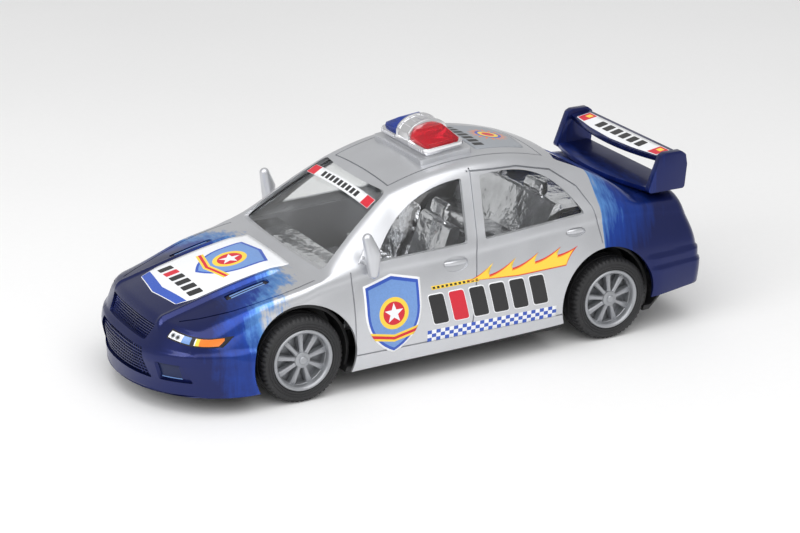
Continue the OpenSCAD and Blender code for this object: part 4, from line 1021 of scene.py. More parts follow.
def finishes(colours):
    """Every finish of the car by its short name."""
    c = colours
    return {
        "body": body_finish(c),
        "clear": clear_finish("clear_plastic", (0.97, 0.98, 0.98)),
        "chrome": grained("bright_trim", c.chrome, 1.0, 0.12, 500, 0.05, 80),
        "interior": crinkled("bright_interior", scaled(c.chrome, 1.1)),
        "red_lens": clear_finish("red_lens", scaled(c.red, 1.5), 0.05, 0.75),
        "blue_lens": clear_finish("blue_lens", c.lens_blue, 0.05, 0.75),
        "black": grained("black_plastic", c.black, 0.0, 0.5, 1500, 0.3, 50, 0.2),
        "tyre": grained("tyre_rubber", scaled(c.black, 1.6), 0.0, 0.62, 2200, 0.35, 70, 0.35),
        "wheel": grained("wheel_plastic", c.wheel, 0.55, 0.36, 2600, 0.1, 60, 0.05),
        "steel": grained("steel", (0.56, 0.56, 0.58), 1.0, 0.28, 1800, 0.1, 90),
        "motor": grained("motor_plastic", (0.70, 0.66, 0.55), 0.0, 0.45, 1300, 0.06, 60, 0.1),
        "gear": grained("gear_plastic", (0.78, 0.78, 0.76), 0.0, 0.4, 1300, 0.05, 60, 0.1),
        "flywheel": grained("flywheel_metal", (0.42, 0.42, 0.44), 1.0, 0.4, 1500, 0.15, 70, 0.1),
        # Dark ink of the headlamp stickers; the same dark laid inside the bonnet vents is painted shade.
        "dark": grained("dark_print_and_vent_shade", (0.020, 0.016, 0.018), 0.2, 0.45, 1600, 0.3, 60, 0.1),
        # Painted shade: a near-black blue laid down behind the grille meshes and in the fog lamp recesses of
        # the blue nose.
        "recess": grained("painted_recess_shade", scaled(c.print_blue, 0.14), 0.2, 0.4, 1600, 0.2, 60, 0.1),
        "white": grained("sticker_white", c.white, 0.0, 0.32, 1400, 0.03, 25),
        "ink": grained("sticker_black", scaled(c.black, 1.3), 0.0, 0.35, 1400, 0.2, 40),
        "print_red": grained("sticker_red", c.red, 0.0, 0.34, 1400, 0.08, 40),
        "print_blue": grained("sticker_blue", c.print_blue, 0.0, 0.34, 1400, 0.1, 40),
        # Light blue ink of the stickers; the same blue draws the painted highlights in the fog lamps and
        # bonnet vents.
        "sky_print_and_highlight": grained("sky_print_and_painted_highlight", (0.16, 0.30, 0.62), 0.0, 0.34, 1400, 0.1, 40),
        "yellow": grained("sticker_yellow", c.yellow, 0.0, 0.34, 1400, 0.06, 40),
        "orange": grained("sticker_orange", c.orange, 0.0, 0.34, 1400, 0.08, 40),
        "grey": grained("sticker_grey", (0.32, 0.34, 0.37), 0.1, 0.35, 1400, 0.08, 40),
    }


# Operators

kit = {}


def sizes_of(group):
    return getattr(bpy.context.scene, "toycar_" + group)


def fit(obj, body, slot, *nodes, finish=None):
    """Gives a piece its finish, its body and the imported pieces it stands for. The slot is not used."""
    if finish:
        obj.data.materials.clear()
        obj.data.materials.append(kit["finish"][finish])
    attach(obj, body)
    if nodes:
        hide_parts(*nodes)
    return obj


class TOYCAR_OT_body(bpy.types.Operator):
    """Moulded body shell with its openings, arches, panel lines and recesses"""

    bl_idname = "toycar.body"
    bl_label = "Body shell"

    def execute(self, context):
        s = sizes_of("body")
        loft = kit["loft"] = BodyLoft(s)
        kit["finish"] = finishes(sizes_of("paint"))
        body = loft.solid("body")
        kit["skin"] = Skin(body)
        combine(body, self.roof_pad(loft), "UNION")
        combine(body, loft.solid("inside", s.wall, s.end_wall, 6 * MM))
        for tool in self.openings(loft):
            combine(body, tool)
        lines = loft.solid("line_floor", s.line_depth, s.line_depth)
        deep = loft.solid("recess_floor", s.line_depth, s.recess_depth)
        for tool, floor in self.grooves(loft, lines, deep):
            keep = floor.copy()
            context.scene.collection.objects.link(keep)
            combine(tool, keep)
            combine(body, tool)
        for floor in (lines, deep):
            bpy.data.objects.remove(floor)
        kit["skin"].dress(body)
        fit(body, "car", "body_paint", "body_shell", finish="body")
        return {"FINISHED"}

    def roof_pad(self, loft):
        low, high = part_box("lightbar_base")
        at = (low.x + high.x) / 2
        half = Vector((11.4 * MM, 20.2 * MM))
        corners = [(-half.x, -half.y), (half.x, -half.y), (half.x, half.y), (-half.x, half.y)]
        pad = prism("pad", rounded(corners, 1.5 * MM), "Z", -2.2 * MM, 0.7 * MM)
        rise = loft.crown(at - 5 * MM) - loft.crown(at + 5 * MM)
        kit["roof"] = Matrix.Translation((at, 0, loft.crown(at))) @ Matrix.Rotation(rise / (10 * MM), 4, "Y")
        return moved(pad, kit["roof"])

    def pillar(self, loft, z):
        s = loft.s
        lean = (z - s.belt_mid_z) / (s.window_top_z - s.belt_mid_z)
        return loft.cowl - s.pillar_setback - s.pillar_lean * lean

    def window_low(self, loft, x):
        return loft.shoulder(x).y + loft.s.window_sill

    def side_windows(self, loft, grow=0.0):
        """Outlines of the front and rear side windows, grown outwards."""
        s = loft.s
        half = s.pillar_width / 2 - grow
        front_x = loft.cowl - s.window_setback + 1.6 * grow
        rear_x = loft.cowl - s.window_end_setback - 1.3 * grow
        top_z = s.window_top_z + grow
        foot_z = s.belt_mid_z
        front = Vector((front_x, self.window_low(loft, front_x) - grow))
        top = Vector((self.pillar(loft, s.window_top_z) + half, top_z))
        crest = Vector((lerp(front.x, top.x, 0.43), top_z - 0.8 * MM))
        foot = self.pillar(loft, foot_z) + half
        ahead = [bend(front, crest, top, t) for t in steps(16)]
        ahead.append(Vector((foot, self.window_low(loft, foot) - grow)))
        top = Vector((self.pillar(loft, s.window_top_z) - half, top_z))
        tip = Vector((rear_x, self.window_low(loft, rear_x) - grow))
        crest = Vector((lerp(top.x, tip.x, 0.75), top_z + 3.2 * MM))
        foot = self.pillar(loft, foot_z) - half
        behind = [bend(top, crest, tip, t) for t in steps(16)]
        behind.append(Vector((foot, self.window_low(loft, foot) - grow)))
        return [rounded([tuple(p) for p in outline], 1.2 * MM, 4) for outline in (ahead, behind)]

    def screen(self, low_z, top_z, low_width, top_width):
        s = sizes_of("body")
        low, top = low_width / 2 - s.screen_frame, top_width / 2 - s.screen_frame
        return rounded([(-low, low_z), (low, low_z), (top, top_z), (-top, top_z)], 2.4 * MM)

    def openings(self, loft):
        s = loft.s
        out = s.body_width / 2 + 2 * MM
        inner = loft.edge_half(self.pillar(loft, s.belt_mid_z)) - s.rail_radius - 4 * MM
        for side in (1, -1):
            low, high = sorted((side * inner, side * out))
            for outline in self.side_windows(loft):
                yield prism("side_window", outline, "Y", low, high)
            low, high = sorted((side * 28.2 * MM, side * out))
            front, rear = loft.front_axle, loft.rear_axle
            for centre in (
                (front.x, front.z + s.front_arch_lift),
                (rear.x + s.rear_arch_lead, rear.z + s.rear_arch_lift),
            ):
                ring = [(centre[0] + a, centre[1] + b) for a, b in circle(s.arch_radius, 96)]
                yield prism("wheel_arch", ring, "Y", low, high)
        front = self.screen(s.cowl_z + 1 * MM, s.roof_front_z - 1.2 * MM, s.cowl_width, s.roof_front_width)
        yield prism("windscreen", front, "X", loft.roof_front - 8 * MM, loft.cowl + 6 * MM)
        rear = self.screen(s.deck_z + 2.6 * MM, s.roof_rear_z - 2 * MM, s.deck_width, s.roof_rear_width)
        yield prism("rear_window", rear, "X", loft.deck - 4 * MM, loft.roof_rear + 8 * MM)

    def grooves(self, loft, lines, deep):
        """Panel lines and recesses with the form that bounds their depth."""
        s = loft.s
        out = s.body_width / 2 + 2 * MM
        inner = loft.edge_half(self.pillar(loft, s.belt_mid_z)) - s.rail_radius - 4 * MM
        door_x = loft.cowl - s.door_setback
        top = s.window_top_z + 3 * MM
        sill = s.sill_line_z
        front_end = loft.front_axle.x - s.arch_radius
        rear_end = loft.rear_axle.x + s.rear_arch_lead + s.arch_radius
        frame_line = [(p[0] * MM, p[1] * MM) for p in FRAME_LINE]
        paths = [
            [(self.pillar(loft, top), top), (self.pillar(loft, sill), sill)],
            [(door_x, self.window_low(loft, door_x) - 1 * MM), (door_x, sill)],
            frame_line,
            [(front_end, sill), (rear_end, sill)],
        ]
        handles = []
        for x, z, long, tall in ((-3.0, 44.9, 11.0, 6.0), (-57.8, 48.6, 9.0, 3.6)):
            handles.append([(x * MM + a * long, z * MM + b * tall) for a, b in circle(0.5 * MM, 32)])
        for side in (1, -1):
            low, high = sorted((side * inner, side * out))
            for path in paths:
                yield prism("line", band(path, s.line_width), "Y", low, high), lines
            for outline in handles:
                yield prism("handle", outline, "Y", low, high), deep
            for path in TOP_LINES:
                outline = band([(x * MM, side * y * MM) for x, y in path], s.line_width)
                yield prism("line", outline, "Z", 30 * MM, 95 * MM), lines
            x = loft.front_axle.x + 6 * MM
            y = sorted((side * (s.panel_width / 2 + 2 * MM), side * (s.panel_width / 2 + 5.6 * MM)))
            slot = [(x, y[0]), (x + 18 * MM, y[0]), (x + 18 * MM, y[1]), (x, y[1])]
            yield prism("vent", rounded(slot, 1 * MM), "Z", 30 * MM, 95 * MM), lines
            for outline in (HEADLAMP, FOG_LAMP):
                shape = rounded([(side * y * MM, z * MM) for y, z in outline], 0.8 * MM)
                start = loft.front_axle.x + s.arch_radius + 2 * MM
                yield prism("lamp", shape, "X", start, loft.nose + 2 * MM), deep
            shape = rounded([(side * y * MM, z * MM) for y, z in TAIL_LAMP], 1 * MM)
            yield prism("lamp", shape, "X", loft.tail - 2 * MM, loft.deck - 10 * MM), deep
        for outline in (UPPER_GRILLE, LOWER_GRILLE):
            shape = [(y * MM, z * MM) for y, z in outline] + [(-y * MM, z * MM) for y, z in outline[::-1]]
            yield prism("grille", rounded(shape, 1 * MM), "X", loft.nose - 18 * MM, loft.nose + 2 * MM), deep
        for x in ROOF_CROSS_LINES:
            outline = band([(x * MM, -22.4 * MM), (x * MM, 22.4 * MM)], s.line_width)
            yield prism("line", outline, "Z", 60 * MM, 95 * MM), lines


# Outlines measured on the car, in millimetres: (x, z) on the sides, (x, y) on top, (y, z) at the ends
FRAME_LINE = [(-14.7, 76.8), (-37.4, 75.6), (-52.9, 71.8), (-63.2, 64.4), (-67.2, 57.0), (-69.7, 42.5)]
TOP_LINES = [
    [(55.0, 38.0), (62.0, 38.6), (70.0, 38.6), (80.0, 37.2), (88.0, 35.2), (100.0, 30.8), (106.5, 27.4)],
    [(15.5, 22.4), (-20.0, 23.0), (-54.0, 22.0)],
    [(-94.5, 30.0), (-113.0, 29.0)],
]
ROOF_CROSS_LINES = (15.5, -54.0)
HEADLAMP = [(28.0, 30.4), (42.4, 28.3), (41.6, 31.7), (28.8, 33.8)]
FOG_LAMP = [(26.5, 13.8), (37.6, 13.8), (36.4, 21.4), (26.5, 21.2)]
TAIL_LAMP = [(22.0, 38.0), (35.0, 39.0), (35.0, 47.0), (22.0, 48.0)]
UPPER_GRILLE = [(17.5, 26.8), (20.4, 33.2)]
LOWER_GRILLE = [(23.4, 13.4), (19.0, 24.6)]


class TOYCAR_OT_glazing(bpy.types.Operator):
    """Clear window moulding inside the shell"""

    bl_idname = "toycar.glazing"
    bl_label = "Windows"

    def execute(self, context):
        s = sizes_of("body")
        loft = kit["loft"]
        depth = s.wall + s.glass_gap
        glass = loft.solid("glazing", depth, s.end_wall)
        skin = Skin(glass)
        combine(glass, loft.solid("hollow", depth + s.glass, s.end_wall + s.glass, 6 * MM))
        ends = []
        for x in (loft.cowl - 0.6 * MM, loft.deck + 1.5 * MM):
            ends.append((x, loft.shoulder(x).y + s.window_sill - 3 * MM))
        region = [ends[0], (ends[0][0], 0.15), (ends[1][0], 0.15), ends[1]]
        half = s.body_width / 2
        combine(glass, prism("region", region, "Y", -half, half), "INTERSECT")
        span = (loft.roof_rear + 10 * MM, loft.roof_front - 8 * MM)
        wide = s.panel_width / 2 - 3 * MM
        combine(glass, box_object("roof_hole", (span[0], -wide, 0.06), (span[1], wide, 0.15)))
        skin.dress(glass)
        fit(glass, "car", "clear_plastic", "window_glazing", finish="clear")
        return {"FINISHED"}


class WheelSizes(bpy.types.PropertyGroup):
    """Wheels and tyres."""

    tyre_radius: size("Tyre radius", 17.2, "Outer radius of the tyres")
    rim_radius: size("Rim radius", 12.4, "Where the tyre sits on the rim")
    outer: size("Outer face", 44, "Tyre's outer face from the middle of the car")
    width: size("Tyre width", 13, "Width of the tyres")
    spokes: bpy.props.IntProperty(name="Spokes", description="Number of spokes", default=9, min=3)
    notches: bpy.props.IntProperty(name="Notches", description="Notches on each shoulder", default=54, min=12)


class TOYCAR_OT_wheels(bpy.types.Operator):
    """Spoked wheels and tyres, riding on their axles"""

    bl_idname = "toycar.wheels"
    bl_label = "Wheels"

    def execute(self, context):
        s = sizes_of("wheels")
        wheel, tyre = self.wheel(s), self.tyre(s)
        for end in ("front", "rear"):
            for side, flip in (("left", Matrix()), ("right", MIRROR)):
                at = Matrix.Translation(AXLES[end + "_wheels"]) @ flip
                made = shade(twin(wheel, f"{end}_{side}_wheel", at), 32)
                fit(made, end + "_wheels", "wheel_plastic", f"{end}_wheel_{side}", finish="wheel")
                made = shade(twin(tyre, f"{end}_{side}_tyre", at), 32)
                fit(made, end + "_wheels", "tyre_rubber", f"{end}_tyre_{side}", finish="tyre")
        for obj in (wheel, tyre):
            bpy.data.objects.remove(obj)
        return {"FINISHED"}

    def wheel(self, s):
        """One wheel about the Y axis, its face towards +Y."""
        face, rim = s.outer, s.rim_radius
        lip = [
            (-1.6, -0.5), (-1.3, -0.1), (-0.9, 0.15), (-0.4, 0.15), (-0.1, -0.15),
            (-0.02, -0.8), (-0.02, -11.8), (-0.5, -12.4), (-1.3, -12.4),
            (-1.5, -11.6), (-1.9, -3.2), (-1.75, -1.2),
        ]
        parts = [turned("rim", [(rim + a * MM, face + b * MM) for a, b in lip], 96)]
        hub = [
            (0, 0.1), (1.3, 0.05), (1.7, -0.25), (1.75, -0.6), (2.6, -0.7), (3.1, -1.0), (3.3, -1.6),
            (3.3, -5.0), (3.2, -15.2), (1.4, -15.2), (1.4, -6.0), (0, -6.0),
        ]
        parts.append(turned("hub", [(max(a, 1e-4) * MM, face + b * MM) for a, b in hub], 48))
        ring = [(10.2, -4.6), (10.4, -2.8), (10.75, -2.4), (11.0, -2.8), (11.0, -4.8)]
        parts.append(turned("ring", [(a * MM, face + b * MM) for a, b in ring], 96))
        spoke = self.spoke(face)
        for i in range(s.spokes):
            parts.append(twin(spoke, "spoke", Matrix.Rotation(2 * math.pi * i / s.spokes, 4, "Y")))
        bpy.data.objects.remove(spoke)
        back = [(3.2, -6.2), (rim / MM - 1.6, -6.2), (rim / MM - 1.6, -7.0), (3.2, -7.0)]
        parts.append(turned("back", [(a * MM, face + b * MM) for a, b in back], 64))
        return join("wheel", parts)

    def spoke(self, face):
        """A spoke that widens to the rim, with a raised rib along it."""
        verts, faces = [], []
        rows = [
            (2.6, 0.95, -1.3), (4.4, 0.80, -1.6), (6.6, 0.92, -1.9), (8.8, 1.12, -2.15), (10.7, 1.35, -2.5),
        ]
        shape = [(-1, -3.2), (-1, -0.55), (-0.62, -0.05), (0.62, -0.05), (1, -0.55), (1, -3.2)]
        for radius, half, drop in rows:
            verts += [Vector((a * half * MM, face + (drop + b) * MM, radius * MM)) for a, b in shape]
        n = len(shape)
        for i in range(len(rows) - 1):
            a, b = i * n, (i + 1) * n
            faces += [(a + k, a + (k + 1) % n, b + (k + 1) % n, b + k) for k in range(n)]
        faces += [tuple(range(n)), tuple(range((len(rows) - 1) * n + n - 1, (len(rows) - 1) * n - 1, -1))]
        obj = mesh_object("spoke", verts, faces)
        bm = bmesh.new()
        bm.from_mesh(obj.data)
        bmesh.ops.recalc_face_normals(bm, faces=bm.faces)
        bm.to_mesh(obj.data)
        bm.free()
        return soften(obj, 0.18 * MM, 2)

    def tyre(self, s):
        face, r = s.outer, s.tyre_radius / MM
        side = [
            (12.42, -0.5), (12.8, 0.0), (13.3, 0.12), (13.5, -0.1), (13.7, -0.1), (13.9, 0.12), (14.3, 0.14),
            (14.5, -0.08), (14.7, -0.08), (14.9, 0.08), (r - 1.3, -0.2), (r - 0.55, -0.75), (r - 0.12, -1.5),
            (r, -2.4),
        ]
        tread = [(r, -4.3), (r - 0.7, -4.4), (r - 0.7, -5.1), (r, -5.2)]
        middle = -s.width / MM / 2
        half = side + tread
        profile = half + [(a, 2 * middle - b) for a, b in half[::-1]]
        obj = turned("tyre", [(a * MM, face + b * MM) for a, b in profile], 6 * s.notches)
        depth = 0.42 * MM
        for vertex in obj.data.vertices:
            p = vertex.co
            reach = math.hypot(p.x, p.z)
            edge = min(abs(p.y - face), abs(p.y - face + s.width))
            turn = (math.atan2(p.z, p.x) / (2 * math.pi) * s.notches) % 1.0
            if reach > s.tyre_radius - 1.0 * MM and edge < 3.0 * MM and turn < 0.4:
                p.x *= (reach - depth) / reach
                p.z *= (reach - depth) / reach
        return obj


def redo(node, body, slot, finish, bevel=0.0, angle=30):
    """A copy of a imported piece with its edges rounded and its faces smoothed."""
    made = bpy.data.objects.new(node + "_moulding", frame["nodes"][node].data.copy())
    bpy.context.scene.collection.objects.link(made)
    made.modifiers.new("weld", "WELD").merge_threshold = 1e-6
    flat = made.modifiers.new("flat", "DECIMATE")
    flat.decimate_type = "DISSOLVE"
    flat.angle_limit = math.radians(0.6)
    settle(made)
    if bevel:
        soften(made, bevel, 2, angle)
        settle(made)
    shade(made, 35)
    return fit(made, body, slot, node, finish=finish)


class TOYCAR_OT_cabin(bpy.types.Operator):
    """Bright cabin moulding and the steering wheel"""

    bl_idname = "toycar.cabin"
    bl_label = "Cabin"

    def execute(self, context):
        redo("cabin_interior", "car", "bright_interior", "interior", 0.5 * MM, 40)
        redo("steering_wheel", "car", "bright_interior", "interior", 0.15 * MM)
        ribs = []
        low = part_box("cabin_interior")[0]
        for side in (1, -1):
            for i in range(5):
                y = side * 16 * MM + (i - 2) * 4 * MM
                path = [((14 * t - 3) * MM, y, low.z + (9.2 + t) * MM) for t in steps(3)]
                ribs.append(swept("rib", path, circle(0.7 * MM, 10)))
        made = shade(join("seat_ribs", ribs))
        fit(made, "car", "bright_interior", finish="interior")
        return {"FINISHED"}


class TOYCAR_OT_mirrors(bpy.types.Operator):
    """Door mirrors with their sail corners"""

    bl_idname = "toycar.mirrors"
    bl_label = "Mirrors"

    def execute(self, context):
        for side, name in ((1, "left"), (-1, "right")):
            made = redo(f"mirror_{name}", "car", "body_paint", "body", 0.2 * MM, 25)
            shade(made, 60)
            outline = rounded([(38.5, 51.0), (30.8, 51.4), (30.2, 58.6), (33.0, 57.2)], 0.8)
            sail = laid(
                f"mirror_sail_{name}",
                [(outline, kit["finish"]["body"])],
                lambda u, v, side=side: kit["skin"].on_side(u, v, side),
                0.7 * MM,
                1.0,
                0.9 * MM,
            )
            fit(sail, "car", "body_paint")
        return {"FINISHED"}


class TOYCAR_OT_lightbar(bpy.types.Operator):
    """Light bar: bright base with ribs, red and blue lenses"""

    bl_idname = "toycar.lightbar"
    bl_label = "Light bar"

    def execute(self, context):
        redo("lightbar_base", "car", "bright_trim", "chrome", 0.25 * MM)
        redo("lens_red", "car", "red_lens", "red_lens", 0.35 * MM, 12)
        redo("lens_blue", "car", "blue_lens", "blue_lens", 0.6 * MM, 12)
        ribs = []
        for side in (1, -1):
            for i in range(7):
                y = side * (6.6 + 1.7 * i)
                for x in (9.05, -9.05):
                    low, high = (x - 0.25, y - 0.35, 1.5), (x + 0.25, y + 0.35, 3.1)
                    rib = box_object("rib", [c * MM for c in low], [c * MM for c in high])
                    ribs.append(soften(rib, 0.15 * MM))
        for x in (-5.5, -2.75, 0, 2.75, 5.5):
            path = [(x * MM, y * MM, (9.7 - 0.058 * x * x) * MM) for y in (-3.2, 3.2)]
            ribs.append(swept("rib", path, circle(0.45 * MM, 12)))
        made = moved(join("lightbar_ribs", ribs), kit["roof"] @ Matrix.Translation((0, 0, 0.7 * MM)))
        fit(shade(made), "car", "bright_trim", finish="chrome")
        return {"FINISHED"}


class TOYCAR_OT_spoiler(bpy.types.Operator):
    """Rear spoiler with rounded edges"""

    bl_idname = "toycar.spoiler"
    bl_label = "Spoiler"

    def execute(self, context):
        made = redo("rear_spoiler", "car", "blue_paint", "body", 0.55 * MM, 25)
        kit["spoiler"] = Skin(made)
        return {"FINISHED"}


class TOYCAR_OT_chassis(bpy.types.Operator):
    """Black chassis, its screws and the axles"""

    bl_idname = "toycar.chassis"
    bl_label = "Chassis"

    def execute(self, context):
        redo("chassis_plate", "car", "black_plastic", "black", 0.3 * MM, 40)
        redo("chassis_screws", "car", "steel", "steel", 0.12 * MM, 40)
        redo("front_axle", "front_wheels", "steel", "steel", 0.2 * MM, 40)
        redo("rear_axle", "rear_wheels", "steel", "steel", 0.2 * MM, 40)
        return {"FINISHED"}


class TOYCAR_OT_mechanism(bpy.types.Operator):
    """Friction motor: case, gears, shafts and flywheel"""

    bl_idname = "toycar.mechanism"
    bl_label = "Friction motor"

    def execute(self, context):
        for node in ("motor_case_left", "motor_case_right"):
            redo(node, "car", "motor_plastic", "motor", 0.2 * MM, 40)
        redo("motor_screws", "car", "steel", "steel", 0.12 * MM, 40)
        for node, body in (
            ("axle_gear", "rear_wheels"),
            ("first_gear", "first_train"),
            ("second_gear", "second_train"),
            ("flywheel_pinion", "flywheel_train"),
        ):
            redo(node, body, "gear_plastic", "gear")
        for node, body in (
            ("first_shaft", "first_train"),
            ("second_shaft", "second_train"),
            ("flywheel_shaft", "flywheel_train"),
        ):
            redo(node, body, "steel", "steel", 0.1 * MM, 40)
        redo("flywheel", "flywheel_train", "flywheel_metal", "flywheel", 0.2 * MM, 40)
        return {"FINISHED"}


class TOYCAR_OT_trim(bpy.types.Operator):
    """Grille meshes, lamps, door handles and vents"""

    bl_idname = "toycar.trim"
    bl_label = "Trim"

    ROW_DEPTH = 1.0 * MM
    COLUMN_DEPTH = 1.15 * MM
    FLOOR_DEPTH = 1.55 * MM
    BAR_HALF = 0.17 * MM
    HEADLAMP_LIFT = 0.04 * MM
    FOG_DEPTH = 1.2 * MM
    TAIL_DEPTH = 0.9 * MM
    VENT_DEPTH = 0.35 * MM

    def execute(self, context):
        self.skin = kit["skin"]
        f = kit["finish"]
        made = join("grille_mesh", self.mesh(UPPER_GRILLE, 8, 26) + self.mesh(LOWER_GRILLE, 9, 26))
        fit(shade(made), "car", "body_paint", finish="body")
        # Each grille gets a near-black sheet down behind its mesh: painted shade between the bars.
        for number, outline in enumerate((UPPER_GRILLE, LOWER_GRILLE)):
            shape = [(y - 0.5, z) for y, z in outline] + [(0.5 - y, z) for y, z in outline[::-1]]
            layers = [(shape, f["recess"])]
            floor = laid(f"grille_shade_floor_{number}", layers, self.skin.on_front, -self.FLOOR_DEPTH, 1.5)
            fit(floor, "car", "black_plastic")
        for side, name in ((1, "left"), (-1, "right")):
            self.lamps(side, name, f)
            self.handles(side, name)
            self.vent(side, name, f)
        return {"FINISHED"}

    def inset(self, y, z, depth):
        place, normal = self.skin.on_front(y, z)
        return place - normal * depth

    def mesh(self, outline, rows, columns):
        """Crossed bars a little below the skin of the nose."""
        (low_half, low_z), (high_half, high_z) = outline
        h = self.BAR_HALF
        square = [(-h, -h), (h, -h), (h, h), (-h, h)]
        bars = []
        for t in steps(rows)[1:-1]:
            half, z = lerp(low_half, high_half, t) - 0.3, lerp(low_z, high_z, t)
            path = [self.inset(y, z, self.ROW_DEPTH) for y in steps(20, -half, half)]
            bars.append(swept("bar", path, square))
        for u in steps(columns, -1, 1)[1:-1]:
            path = []
            for t in steps(5, 0.03, 0.97):
                half, z = lerp(low_half, high_half, t), lerp(low_z, high_z, t)
                path.append(self.inset(u * half, z, self.COLUMN_DEPTH))
            bars.append(swept("bar", path, square))
        return bars

    def lamps(self, side, name, f):
        def ahead(u, v):
            return self.skin.on_front(side * u, v)

        def behind(u, v):
            return self.skin.on_back(side * u, v)

        def strip(a, b):
            """Part of the headlamp between two shares of its length."""
            low = [lerp(28.1, 42.3, t) for t in (a, b)]
            high = [lerp(28.9, 41.6, t) for t in (a, b)]
            return [
                (low[0], lerp(30.9, 28.8, a)), (low[1], lerp(30.9, 28.8, b)),
                (high[1], lerp(33.3, 31.3, b)), (high[0], lerp(33.3, 31.3, a)),
            ]

        layers = [(HEADLAMP, f["dark"]), (strip(0.03, 0.97), f["white"]), (strip(0.42, 0.62), f["sky_print_and_highlight"])]
        layers += [
            (strip(0.62, 0.7), f["dark"]), (strip(0.78, 0.97), f["orange"]), (strip(0.72, 0.78), f["yellow"]),
        ]
        for t in (0.14, 0.29):
            y, z = lerp(28.5, 42.0, t), lerp(32.1, 30.0, t)
            layers.append(([(y + a, z + b) for a, b in circle(0.95, 20)], f["grey"]))
            layers.append(([(y + a, z + b) for a, b in circle(0.55, 20)], f["ink"]))
        fit(laid(f"headlamp_{name}", layers, ahead, self.HEADLAMP_LIFT, 1.0), "car", "bright_trim")
        # The fog lamp sheet lies down in its recess: its near-black ground is painted shade, and the thin
        # light strip along its lower edge is a painted highlight on the lip.
        fog = rounded([(26.9, 14.2), (37.2, 14.2), (36.1, 21.0), (26.9, 20.8)], 0.6)
        bright = [(27.4, 14.5), (36.8, 14.5), (36.7, 14.9), (27.4, 14.9)]
        layers = [(fog, f["recess"]), (bright, f["sky_print_and_highlight"])]
        fit(laid(f"fog_lamp_shade_and_highlight_{name}", layers, ahead, -self.FOG_DEPTH, 1.2), "car", "black_plastic")
        outline = rounded([(22.3, 38.3), (34.7, 39.3), (34.7, 46.7), (22.3, 47.7)], 0.8)
        layers = [(outline, f["print_red"])]
        layers.append(([(23, 41.2), (34.4, 41.6), (34.4, 43.4), (23, 43.6)], f["orange"]))
        layers.append(([(23, 43.8), (27.5, 43.8), (27.5, 46.6), (23, 46.9)], f["white"]))
        fit(laid(f"tail_lamp_{name}", layers, behind, -self.TAIL_DEPTH, 1.2), "car", "red_lens")

    def handles(self, side, name):
        bars = []
        for x, z, half in ((-3.0, 44.9, 4.6), (-57.8, 48.6, 3.6)):
            path = []
            for t in steps(10, -1, 1):
                place, normal = self.skin.on_side(x + t * half, z + 0.3, side)
                path.append(place - normal * (0.15 + 0.9 * t * t) * MM)
            bars.append(swept("bar", path, [(a * 0.9, b * 1.3) for a, b in circle(0.85 * MM, 14)]))
        fit(shade(join(f"door_handles_{name}", bars), 50), "car", "body_paint", finish="body")

    def vent(self, side, name, f):
        def top(u, v):
            return self.skin.on_top(u, side * v)

        # The vent sheet lies down in the vent groove: its dark ground is painted shade, and the two light
        # blue bars are painted highlights on the louvres.
        vent_shade_outline = rounded([(69.4, 24.9), (86.6, 24.9), (86.6, 27.7), (69.4, 27.7)], 0.8)
        layers = [(vent_shade_outline, f["dark"])]
        for y in (25.3, 26.7):
            layers.append((rounded([(71, y), (85, y), (85, y + 0.7), (71, y + 0.7)], 0.3), f["sky_print_and_highlight"]))
        fit(laid(f"bonnet_vent_shade_and_highlight_{name}", layers, top, -self.VENT_DEPTH, 1.2), "car", "black_plastic")


# Tongues of the door flames
TONGUES = 5


